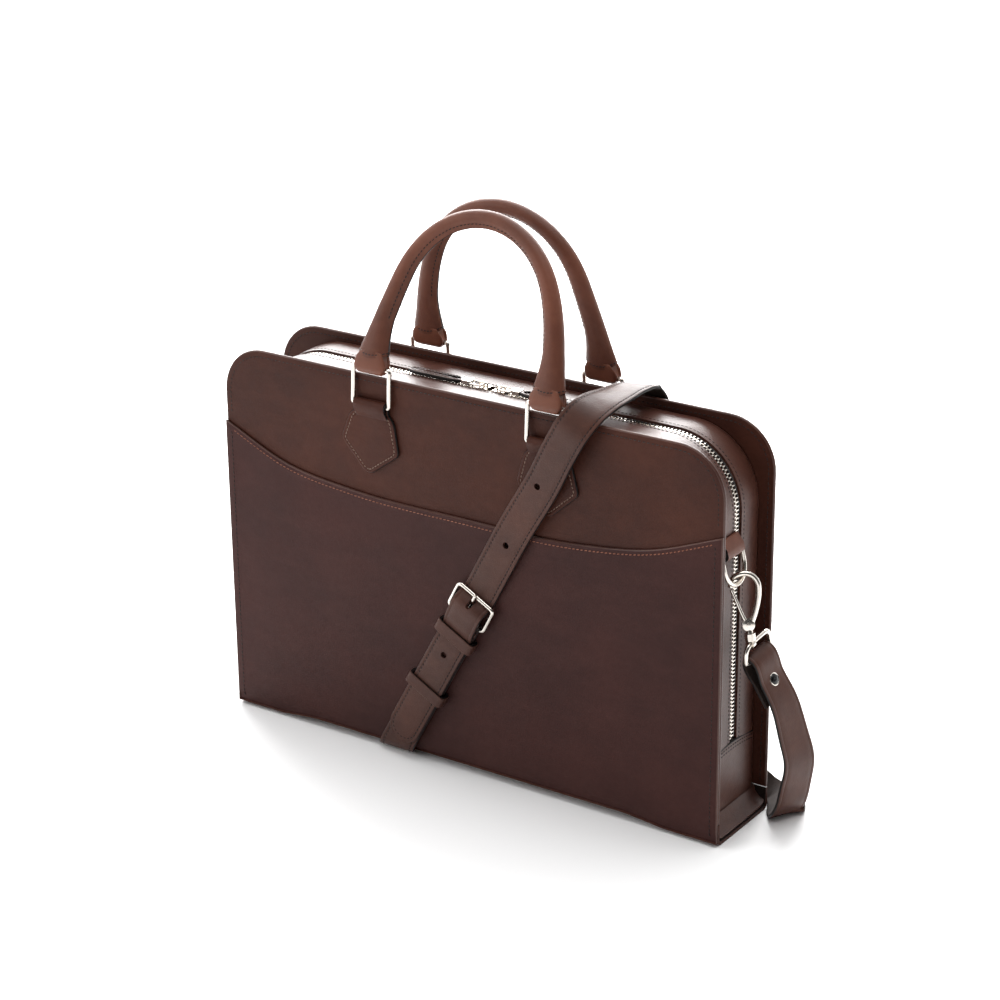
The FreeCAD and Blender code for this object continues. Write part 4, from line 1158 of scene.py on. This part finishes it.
def strap_profile():
    """Section of a strap as (across, lift), with its edge strips marked 1 and its back 2."""
    w = STRAP_WIDTH / 2
    t = STRAP_THICK / 2
    left = [(-w, -0.45 * t), (-w, 0.3 * t), (-w + 0.3, 0.78 * t), (-w + 0.85, t),
            (-w + 2.1, t + 0.02), (-w + 2.55, t - 0.16), (-w + 3.0, t + 0.03)]
    middle = [(-w / 2, t + 0.1), (0, t + 0.13), (w / 2, t + 0.1)]
    right = [(-a, n) for a, n in left[::-1]]
    bottom = [(w - 0.5, -t), (0, -t), (-w + 0.5, -t)]
    loop = left + middle + right + bottom
    count = len(loop)
    upper = len(left) + len(middle) + len(right)
    numbers = [0] * count
    for k in (0, 1, upper - 3, upper - 2):
        numbers[k] = 1
    for k in range(upper - 1, count):
        numbers[k] = 2
    return loop, numbers


def ribbon_frames(stations, step=2.0):
    """Centres, across directions and outward directions along a strap."""
    rows = np.array([tuple(centre) + tuple(unit(across)) for centre, across in stations], float)
    rows = spline(rows, step)
    centres = rows[:, :3]
    runs = tangents(centres)
    across = rows[:, 3:]
    across = units(across - runs * np.sum(across * runs, axis=1)[:, None])
    return centres, across, np.cross(runs, across)


def ribbon_sections(frames, profile):
    sections = np.array([[centre + along * a + outward * n for a, n in profile]
                         for centre, along, outward in zip(*frames)])
    sections[:, :, 2] = np.maximum(sections[:, :, 2], 0.15)
    return sections


def strap_rows(frames):
    """A row of stitches along each edge of a strap."""
    centres, across, out = frames
    reach = STRAP_WIDTH / 2 - STRAP_SEAM
    paths = [centres + across * side * reach + out * (STRAP_THICK / 2) for side in (-1, 1)]
    return [(*evenly(path, out), STRAP_PITCH) for path in paths]


def strap_spot(along, y):
    point = HEEL + UPWARD * along
    return np.array((point[0], y, point[2]))


def fold_profile(run, lift):
    """Point of the bent strap at a run below the fold's start, lifted off its middle."""
    wide = FOLD_Y - SHORT_RUN_Y + lift
    deep = FOLD_Z - UNDER_Z + lift
    quarter = (FOLD_Y - SHORT_RUN_Y + FOLD_Z - UNDER_Z) / 2 * math.pi / 2
    if run <= 0:
        return FOLD_Y - wide, FOLD_Z - run
    if run >= quarter:
        return FOLD_Y + run - quarter, FOLD_Z - deep
    angle = run / quarter * math.pi / 2
    return FOLD_Y - wide * math.cos(angle), FOLD_Z - deep * math.sin(angle)


def folded_point(distance, side, lift):
    """Point of the short strap at a distance past the fold's start."""
    start = strap_spot((FOLD_Z - HEEL[2]) / UPWARD[2], SHORT_RUN_Y)
    y, z = fold_profile(distance * UPWARD[2] - side * ACROSS[2], lift)
    return np.array((start[0] - distance * UPWARD[0] + side * ACROSS[0], y, z))


def punch(name, ring):
    """Closed shape that is cut through the front of the strap."""
    depth = np.array((0, 12, 0))
    builder = Builder()
    loft(builder, [[point + depth for point in ring], [point - depth for point in ring]])
    return builder.piece(name, [])


def hole_cutters():
    """Round punches for the holes that the buckle's prong goes through."""
    turns = np.linspace(0, 2 * math.pi, 25)[:-1]
    return [punch("punch", [strap_spot(along, -41)
                            + 2.35 * (ACROSS * math.cos(a) + UPWARD * math.sin(a))
                            for a in turns]) for along in STRAP_HOLES]


def slot_cutter():
    """Punch for the longer hole that the prong stands in."""
    corners = [(-1.5, 12.4), (0, 11.9), (1.5, 12.4), (1.9, 14), (1.9, 17.2), (0, 18.6),
               (-1.9, 17.2), (-1.9, 14)]
    return punch("slot", [strap_spot(b, -42) + ACROSS * a for a, b in corners])


TOP_STATIONS = [((100, 34.2, 279.1), (0.987, 0, 0.14)), ((99.5, 30, 281.5), (0.995, 0, 0.1)),
                ((99.3, 20, 283.5), (1, 0, 0.04)), ((99.5, 0, 284.5), (0.995, 0, -0.08)),
                ((99.7, -22, 285), (0.965, 0, -0.26)), ((98.8, -35, 282.5), (0.93, 0, -0.367)),
                ((94, -43, 273.5), (0.89, 0, -0.456)), ((85.5, -43.2, 259), ACROSS),
                ((69.2, -40.6, 229.3), ACROSS)]
FRONT_MARKS = [(83, -38.6), (40, -38.1), (21, -38.1), (18.6, -38.6), (15.6, -42.6),
               (12.6, -45.7), (8, -46), (1.5, -45), (-4.2, -44.3), (-12, -41.3), (-30, -41.1),
               (-106.8, -41.1)]
BACK_STATIONS = [((166, 43.5, 33), (0.88, 0.18, 0.44)), ((164.5, 43, 42), (0.9, 0.1, 0.42)),
                 ((158, 42.5, 70), (0.93, 0.08, 0.36)), ((150, 41, 105), (0.94, 0.05, 0.34)),
                 ((128, 39.4, 184), (0.949, 0.02, 0.31)), ((106, 37.6, 262), (0.958, 0, 0.285)),
                 ((103, 38.0, 271), (0.97, 0, 0.23)), ((100, 34.2, 279.1), (0.987, 0, 0.14))]
DROP_RIGHT = [((228, 14, 70), (0.27, 0.96, 0)), ((230.7, 18, 51), (0.33, 0.94, 0)),
              ((226, 23, 28.5), (0.41, 0.91, 0)), ((221.5, 25.5, 12), (0.43, 0.9, 0)),
              ((216.5, 29, 3.6), (0.45, 0.89, 0)), ((210, 41.4, 2), (0.5, 0.86, 0)),
              ((200.5, 50.2, 2.2), (0.5, 0.86, 0)), ((188, 49, 4), (0.62, 0.75, 0.2)),
              ((176.5, 46.5, 9.5), (0.77, 0.5, 0.4)), ((169, 44.5, 20), (0.85, 0.3, 0.43)),
              ((166, 43.5, 33), (0.88, 0.18, 0.44))]
DROP_LEFT = [((-122, 58, UNDER_Z), (0.45, 0.89, 0)), ((-146, 62, UNDER_Z), (0, 1, 0)),
             ((-170, 59, 2.6), (-0.3, 0.95, 0)), ((-191, 54, 6), (-0.5, 0.86, 0)),
             ((-206, 47.5, 15), (-0.6, 0.8, 0)), ((-214, 38, 30), (-0.5, 0.86, 0)),
             ((-217.5, 26, 52), (-0.35, 0.93, 0.05))]
LOOP_BAR = np.array((206.6, 2.2, 126.6))
LOOP_ACROSS = unit((0.04, 0.985, 0.15))


def strap_piece(name, frames, nodes, stitched=True):
    """One length of strap, baked in place."""
    profile, numbers = strap_profile()
    builder = Builder()
    loft(builder, ribbon_sections(frames, profile), numbers)
    obj = builder.piece(name, [STRAP, PAINT, BACKING])
    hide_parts(*nodes)
    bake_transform(obj)
    if stitched:
        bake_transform(sewn(name + "_stitches", strap_rows(frames), None, "strap_leather"))


def long_strap():
    """Back, top and front of the strap down to its rounded tip."""
    back = ribbon_frames(BACK_STATIONS)
    strap_piece("strap_back_leather", back, ["strap_back_run"])
    front = [(strap_spot(along, y), ACROSS) for along, y in FRONT_MARKS]
    centres, across, out = ribbon_frames(TOP_STATIONS + front)
    tip = strap_spot(-106.8, -41.1)
    steps = 12
    extra = [tip - UPWARD * (STRAP_WIDTH / 2) * math.sin(math.pi / 2 * k / steps)
             for k in range(1, steps)]
    widths = [math.cos(math.pi / 2 * k / steps) for k in range(1, steps)]
    profile, numbers = strap_profile()
    sections = list(ribbon_sections((centres, across, out), profile))
    sections += [[c + ACROSS * a * w + np.array((0, -1, 0)) * n for a, n in profile]
                 for c, w in zip(extra, widths)]
    builder = Builder()
    loft(builder, sections, numbers)
    obj = builder.piece("strap_front_leather", [STRAP, PAINT, BACKING])
    carve(obj, hole_cutters() + [slot_cutter()])
    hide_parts("strap_top_run", "strap_front_run")
    flat = np.array([centre[1] > -39.5 or centre[2] > 150 or centre[2] < 108
                     for centre in centres])
    runs = np.flatnonzero(np.diff(flat.astype(int)))
    rows = []
    for part in np.split(np.arange(len(centres)), runs + 1):
        if flat[part[0]] and len(part) > 3:
            rows += strap_rows((centres[part], across[part], out[part]))
    turn_path = [tip - UPWARD * 9.7 * math.sin(a) + ACROSS * 9.7 * math.cos(a)
                 + np.array((0, -1.2, 0)) for a in np.linspace(0, math.pi, 20)]
    rows.append((turn_path, (0, -1, 0), 3.0))
    for one in (obj, sewn("strap_front_stitches", rows, None, "strap_leather")):
        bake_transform(one)


def mirrored(stations):
    return [((-c[0], c[1], c[2]), (-a[0], a[1], a[2])) for c, a in stations]


def loop_stations():
    """Strap from its inner end, over the ring bar and down the outer side."""
    down = unit((0.466, 0.204, -0.861))
    out = unit(np.cross(down, LOOP_ACROSS))
    down = unit(np.cross(LOOP_ACROSS, out))
    radius = 2.95
    rows = [((217.2, 9.0, 96), (0.16, 0.98, 0.05)), ((211.1, 6, 108.5), (0.08, 0.98, 0.1))]
    for angle in (160, 120, 90, 60, 20):
        a = math.radians(angle)
        rows.append((LOOP_BAR + out * radius * math.cos(a) - down * radius * math.sin(a),
                     LOOP_ACROSS))
    rows += [((215.8, 6, 110.4), (0.08, 0.98, 0.1)), ((222.3, 9.3, 95.4), (0.16, 0.98, 0.05))]
    return rows


def side_straps():
    """Loops round the strap rings and the strap hanging from them on both sides."""
    frames = ribbon_frames(loop_stations() + DROP_RIGHT, 1.8)
    strap_piece("strap_right_leather", frames, ["strap_loop_right", "strap_drop_right"],
                stitched=False)
    left = loop_stations()
    left = mirrored(left) + [((-220.4, 13, 78), (-0.1, 0.99, 0.08)),
                             ((-217.5, 26, 52), (-0.35, 0.93, 0.05))]
    left = [(c, -np.asarray(a, float)) for c, a in left]
    frames = ribbon_frames(left, 1.8)
    strap_piece("strap_left_leather", frames, ["strap_loop_left"],
                stitched=False)


def short_strap():
    """Short strap from the buckle down the front, under the bag and out to the left."""
    profile, numbers = strap_profile()
    top = (HEEL[2] - FOLD_Z) / UPWARD[2]
    distances = np.concatenate([np.linspace(-top, -14, 40), np.arange(-12, UNDER_LENGTH, 1.8),
                                [UNDER_LENGTH]])
    sections = [[folded_point(d, a, n) for a, n in profile] for d in distances]
    under = folded_point(UNDER_LENGTH, 0, 0)
    heading = np.array((-0.482, 0.876, 0))
    stations = [(under, (0.876, 0.482, 0)), (under + heading * 7, (0.86, 0.5, 0)),
                (under + np.array((-14, 17, 0)), (0.7, 0.71, 0))] + DROP_LEFT
    frames = ribbon_frames(stations)
    sections += list(ribbon_sections(frames, profile))[1:]
    builder = Builder()
    loft(builder, sections, numbers)
    axes = (HEEL, ACROSS, (0, -1, 0), UPWARD)
    wrap(builder, 2.9, 1.65, STRAP_WIDTH / 2 - 0.2,
         (((-1.0, 6), (-2.2, 6)), ((-2.8, 3), (-1.7, 3))), axes)
    obj = builder.piece("strap_short_leather", [STRAP, PAINT, BACKING])
    settle(obj, "front_shell", "strap_leather", "strap_short_run", "strap_drop_left")
    rows = []
    for side in (-1, 1):
        offset = side * (STRAP_WIDTH / 2 - STRAP_SEAM)
        path = np.array([folded_point(d, offset, 1.2) for d in distances])
        above = np.array([folded_point(d, offset, 2.2) for d in distances])
        rows.append((*evenly(path, above - path), STRAP_PITCH))
    sewn("strap_short_stitches", rows + strap_rows(frames), "front_shell", "strap_leather")


def rounded_box(corners, radius, steps=6, sides=6):
    """Four-sided outline with rounded corners, always with the same number of points."""
    corners = [np.array(corner, float) for corner in corners]
    result = []
    for index, corner in enumerate(corners):
        following = corners[(index + 1) % 4]
        start = corner + unit(corners[index - 1] - corner) * radius
        end = corner + unit(following - corner) * radius
        for s in np.linspace(0, 1, steps):
            result.append((1 - s) ** 2 * start + 2 * s * (1 - s) * corner + s * s * end)
        finish = following - unit(following - corner) * radius
        for s in np.linspace(0, 1, sides)[1:-1]:
            result.append(end + (finish - end) * s)
    return np.array(result)


def keepers():
    """Leather loops round both layers of the strap, below the buckle."""
    for name, along, body in (("keeper_fixed", -17.2, "front_shell"),
                              ("keeper_loose", -69.5, "loose_keeper")):
        def ring(half_wide, near, far, radius, shift):
            middle = (near + far) / 2
            half_deep = abs(near - far) / 2
            corners = [(-half_wide, -half_deep), (half_wide, -half_deep),
                       (half_wide, half_deep), (-half_wide, half_deep)]
            loop = rounded_box(corners, radius)
            centre = strap_spot(along + shift, middle)
            return [centre + ACROSS * a + np.array((0, b, 0)) for a, b in loop]
        steps = [(1.0, 0.9, -4.5), (0.35, 0.35, -4.5), (0, 0, -4.1), (0, 0, 4.1),
                 (0.35, 0.35, 4.5), (1.0, 0.9, 4.5)]
        outer = [ring(16.2 - a, -44.2 + b, -35.3 - min(b, 0.35), 3.4, shift)
                 for a, b, shift in steps]
        inner = [ring(13.9, -42.9, -36.7, 1.8, shift) for shift in (4.4, 4.1, -4.1, -4.4)]
        rows = np.array(outer + inner)
        total, count = rows.shape[:2]
        builder = Builder()
        faces = [tuple(index % (total * count) for index in face)
                 for face in quads_between(total + 1, count)]
        kinds = (1, 0, 0, 0, 1, 1, 2, 2, 2, 1)
        builder.add(rows, faces, [kind for kind in kinds for _ in range(count)])
        settle(builder.piece(name + "_leather", [STRAP, PAINT, BACKING]), body,
               "strap_leather", name)


def pull_tabs():
    """Leather pulls of the two sliders, with painted edges and a border of stitches."""
    for side, sign in (("left", -1), ("right", 1)):
        corners = [(23.3, -2.6), (30, -4.5), (62, -4.5), (68, -2.2), (68, 2.2), (62, 4.5),
                   (30, 4.5), (23.3, 2.6)]
        outline = rounded([(sign * x, y + ZIP_Y) for x, y in corners],
                          [0.8, 3, 3, 1.6, 1.6, 3, 3, 0.8])
        builder = Builder()
        outline_sheet(builder, outline, 271.0, 268.5, 1.9)
        x, y, z = builder.points[-1].T.copy()
        builder.points[-1] = np.stack([x, z, y], axis=1)
        settle(builder.piece("pull_tab_" + side + "_leather", [GUSSET_AND_RIM_HIGHLIGHT, PAINT]),
               "pull_" + side, "strap_leather", "pull_tab_" + side)
        inner = rounded([(sign * x, y + ZIP_Y) for x, y in
                         [(28, -2.6), (61.5, -2.6), (65.6, -1.2), (65.6, 1.2), (61.5, 2.6),
                          (28, 2.6)]], [0.8, 2, 1, 1, 2, 0.8])
        path = np.concatenate([inner, inner[:1]])
        border = np.stack([path[:, 0], path[:, 1], np.full(len(path), 271.0)], axis=1)
        sewn("pull_tab_" + side + "_stitches", [(border, (0, 0, 1), 2.4)], "pull_" + side,
             "strap_leather")


def lathe(builder, origin, axis, profile, number, steps=28):
    """Turned shape; profile lists (radius, height) along the axis."""
    axis = unit(axis)
    first = unit(np.cross(axis, (0.0, 0.0, 1.0)))
    second = np.cross(axis, first)
    sections = [[origin + axis * height + radius * (first * math.cos(a) + second * math.sin(a))
                 for a in np.linspace(0, 2 * math.pi, steps + 1)[:-1]]
                for radius, height in profile]
    loft(builder, sections, number)


def rivets():
    """Cap rivets through the strap ends: a dark dome in a bright rim."""
    for side, sign in (("right", 1), ("left", -1)):
        spot = np.array((sign * 215.4, 5.8, 109.8))
        out = np.array((sign * 0.9, -0.1, 0.42))
        builder = Builder()
        rim = [(3.4, 1.4), (4.35, 1.4), (4.6, 1.9), (4.45, 2.5), (4.0, 2.75), (3.6, 2.5)]
        lathe(builder, spot, out, rim, 0)
        dome = [(3.75, 1.5), (3.7, 2.5), (3.3, 2.95), (2.4, 3.3), (1.2, 3.5), (0.2, 3.55)]
        lathe(builder, spot, out, dome, 1)
        lathe(builder, spot, out, [(1.3, -4.6), (1.3, 1.6)], 0)
        back = [(1.2, -4.4), (3.4, -4.5), (3.7, -5.0), (3.2, -5.6), (0.3, -5.8)]
        lathe(builder, spot, out, back, 0)
        settle(builder.piece("strap_rivet_" + side + "_cap", [NICKEL, ENAMEL]), "clip_" + side,
               "dark_rivet", "strap_rivet_" + side)


def wire(builder, path, radius, normal, closed=False, sides=14):
    """Round wire along a flat path; normal stands on the path's plane."""
    path = np.asarray(path, float)
    if closed:
        ahead = units(np.roll(path, -1, axis=0) - np.roll(path, 1, axis=0))
    else:
        ahead = tangents(path)
    normal = unit(normal)
    side = units(np.cross(ahead, normal))
    turns = np.linspace(0, 2 * math.pi, sides + 1)[:-1]
    sections = [[point + radius * (normal * math.cos(a) + out * math.sin(a)) for a in turns]
                for point, out in zip(path, side)]
    if closed:
        sections.append(sections[0])
    loft(builder, sections, caps=not closed)


HOOK_PIVOT = np.array((204.2, -6.7, 150.4))
HOOK_TOP = np.array((197.9, -5.2, 183.5))
HOOK_FACING = math.radians(35)


def hook_axes():
    up = unit(HOOK_TOP - HOOK_PIVOT)
    level = np.array((math.cos(HOOK_FACING), math.sin(HOOK_FACING), 0))
    side = unit(level - up * np.dot(level, up))
    return side, up, np.cross(side, up)


def hook_path(spots):
    """Smooth path through places across and up the hook, measured from its rivet."""
    side, up, _ = hook_axes()
    return spline([HOOK_PIVOT + side * u + up * w for u, w in spots], 0.8)


def mirror(builder):
    """Turns a piece drawn for the right side into the left side's."""
    builder.points = [points * np.array((-1.0, 1.0, 1.0)) for points in builder.points]


def clips():
    """Pear-shaped snap hooks with sprung gates, and the rings that carry the strap ends."""
    up, normal = hook_axes()[1:]
    body = [(1.6, 0), (4.6, 6.5), (7.4, 14), (9.0, 21), (9.1, 26.5), (7.0, 31), (3.4, 33.7),
            (-0.6, 34.3), (-4.6, 33.1), (-7.6, 30), (-8.6, 26.3)]
    gate = [(-0.8, 1), (-2.4, 4.5), (-5.4, 14.5), (-8.2, 24.4)]
    climb = HOOK_PIVOT - up * 12.7 - LOOP_BAR
    climb = climb - LOOP_ACROSS * np.dot(climb, LOOP_ACROSS)
    corners = [LOOP_BAR - LOOP_ACROSS * 14.7, LOOP_BAR + LOOP_ACROSS * 14.7,
               LOOP_BAR + LOOP_ACROSS * 14.2 + climb, LOOP_BAR - LOOP_ACROSS * 14.2 + climb]
    ring = rounded(corners, [3.0, 3.0, 7.5, 7.5], steps=12)
    for side in ("right", "left"):
        hook, lever, loop = Builder(), Builder(), Builder()
        wire(hook, hook_path(body), 1.75, normal)
        for start, end in ((-1.75, -0.95), (0.95, 1.75)):
            rim = [(0.2, start), (3.5, start), (4.0, start + 0.25), (4.0, end - 0.25),
                   (3.5, end), (0.2, end)]
            lathe(hook, HOOK_PIVOT, normal, rim, 0)
        lathe(hook, HOOK_PIVOT, normal, [(0.2, -2.5), (1.2, -2.4), (1.4, -1.7), (1.4, 1.7),
                                         (1.2, 2.4), (0.2, 2.5)], 0)
        lathe(hook, HOOK_PIVOT, up, [(1.9, -3.2), (2.15, -3.6), (2.15, -6.9), (0.2, -7.0)], 0)
        wire(lever, hook_path(gate), 1.2, normal)
        lathe(lever, HOOK_PIVOT, normal, [(1.5, -0.75), (3.1, -0.75), (3.1, 0.75),
                                          (1.5, 0.75)], 0)
        wire(loop, ring, 1.65, np.cross(LOOP_ACROSS, climb), closed=True)
        if side == "left":
            for builder in (hook, lever, loop):
                mirror(builder)
        settle(hook.piece("snap_hook_" + side + "_metal", [NICKEL]), "hook_" + side, "nickel",
               "snap_hook_" + side)
        settle(lever.piece("hook_gate_" + side + "_metal", [NICKEL]), "gate_" + side, "nickel",
               "hook_gate_" + side)
        settle(loop.piece("strap_ring_" + side + "_metal", [NICKEL]), "clip_" + side, "nickel",
               "strap_ring_" + side)


def finish_cad_nodes():
    """Gives the metal and board parts kept from the model their finish."""
    metals = ("ring", "hook", "swivel", "buckle", "prong", "slider", "link")
    for name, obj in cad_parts.items():
        finish = NICKEL if any(word in name for word in metals) else None
        if "board" in name:
            finish = BOARD
        if finish:
            for place in obj.material_slots:
                place.material = finish


# ---------------------------------------------------------------- camera, light and floor
def camera():
    """Camera at the photograph's angle, aimed near the middle of the bag."""
    yaw, pitch, roll = (math.radians(a) for a in (34.4318, 21.6645, -0.569))
    distance = 1.875412
    across, lift = 0.00625174, 0.037113
    back = Vector((math.sin(yaw) * math.cos(pitch), -math.cos(yaw) * math.cos(pitch),
                   math.sin(pitch)))
    right = Vector((math.cos(yaw), math.sin(yaw), 0))
    up = back.cross(right)
    level = right * math.cos(roll) + up * math.sin(roll)
    rise = up * math.cos(roll) - right * math.sin(roll)
    place = Vector(at(0, 0, 150)) + back * distance + level * across + rise * lift
    data = bpy.data.cameras.new("camera")
    data.lens = 99.325
    data.sensor_width = 36
    data.clip_end = 50
    obj = bpy.data.objects.new("camera", data)
    obj.matrix_world = Matrix(((level.x, rise.x, back.x, place.x),
                               (level.y, rise.y, back.y, place.y),
                               (level.z, rise.z, back.z, place.z), (0, 0, 0, 1)))
    bpy.context.scene.collection.objects.link(obj)
    bpy.context.scene.camera = obj


def softbox(name, place, target, size, watts):
    """Soft rectangular light, placed and aimed in metres from the bag's own middle."""
    data = bpy.data.lights.new(name, "AREA")
    data.shape = "RECTANGLE"
    data.size, data.size_y = size
    data.energy = watts
    obj = bpy.data.objects.new(name, data)
    obj.location = Vector(place) + Vector(at(0, 0, 0))
    obj.rotation_euler = (Vector(target) - Vector(place)).to_track_quat("-Z", "Y").to_euler()
    bpy.context.scene.collection.objects.link(obj)


def surroundings():
    """White all round, but dim on the side where the camera stands, so that metal has edges."""
    world = bpy.data.worlds.new("studio")
    world.use_nodes = True
    tree = world.node_tree
    where = tree.nodes.new("ShaderNodeTexCoord")
    facing = tree.nodes.new("ShaderNodeVectorMath")
    facing.operation = "DOT_PRODUCT"
    facing.inputs[1].default_value = unit((0.85, -0.55, 0.25)).tolist()
    shade = tree.nodes.new("ShaderNodeMapRange")
    for name, value in (("From Min", 0.05), ("From Max", 0.8), ("To Min", 1.1),
                        ("To Max", 0.08)):
        shade.inputs[name].default_value = value
    tree.links.new(where.outputs["Generated"], facing.inputs[0])
    tree.links.new(facing.outputs["Value"], shade.inputs["Value"])
    back = tree.nodes["Background"]
    back.inputs["Color"].default_value = (1, 1, 1, 1)
    tree.links.new(shade.outputs[0], back.inputs["Strength"])
    bpy.context.scene.world = world


def studio():
    """Pale floor, surroundings and four large soft lights."""
    bpy.context.scene.view_settings.view_transform = "Standard"
    surroundings()
    builder = Builder()
    builder.add([(-9000, -9000, 0), (9000, -9000, 0), (9000, 9000, 0), (-9000, 9000, 0)],
                [(0, 1, 2, 3)])
    n = Nodes("pale_floor")
    n.link(n.mix(n.noise(3), colour(254, 254, 254), colour(252, 252, 252)), "Base Color")
    n.fixed(Roughness=0.8, Specular_IOR_Level=0.1)
    floor = builder.piece("floor", [n.material])
    softbox("top_light", (0.2, 0.3, 2.6), (0, 0, 0.1), (2.6, 2.2), 52)
    softbox("back_light", (-1.05, 1.6, 1.1), (0, 0, 0.25), (2.6, 1.3), 125)
    softbox("far_light", (-2.0, 3.2, 2.3), (-2.6, 4.0, 0), (6.0, 2.0), 130)
    softbox("front_light", (-1.9, -1.6, 1.3), (0, 0, 0.15), (1.4, 1.4), 16)


def main():
    camera()
    studio()
    finish_cad_nodes()
    panel("front_panel_leather", FRONT_FACE, -1, "panel_leather", "front_panel", "front_shell",
          225)
    panel("back_panel_leather", -FRONT_FACE, 1, "panel_leather", "back_panel", "rear_shell", 20)
    front_pocket()
    linings()
    gusset("front", -1, -30.6, -0.5)
    gusset("rear", 1, 30.6, 8.5)
    zip_parts()
    lower_gussets()
    base()
    base_ends()
    chapes()
    side_tabs()
    for prefix in ("front", "rear"):
        grip(prefix)
        handle_cord(prefix)
        handle_bands(prefix)
    long_strap()
    side_straps()
    short_strap()
    keepers()
    pull_tabs()
    rivets()
    clips()


main()
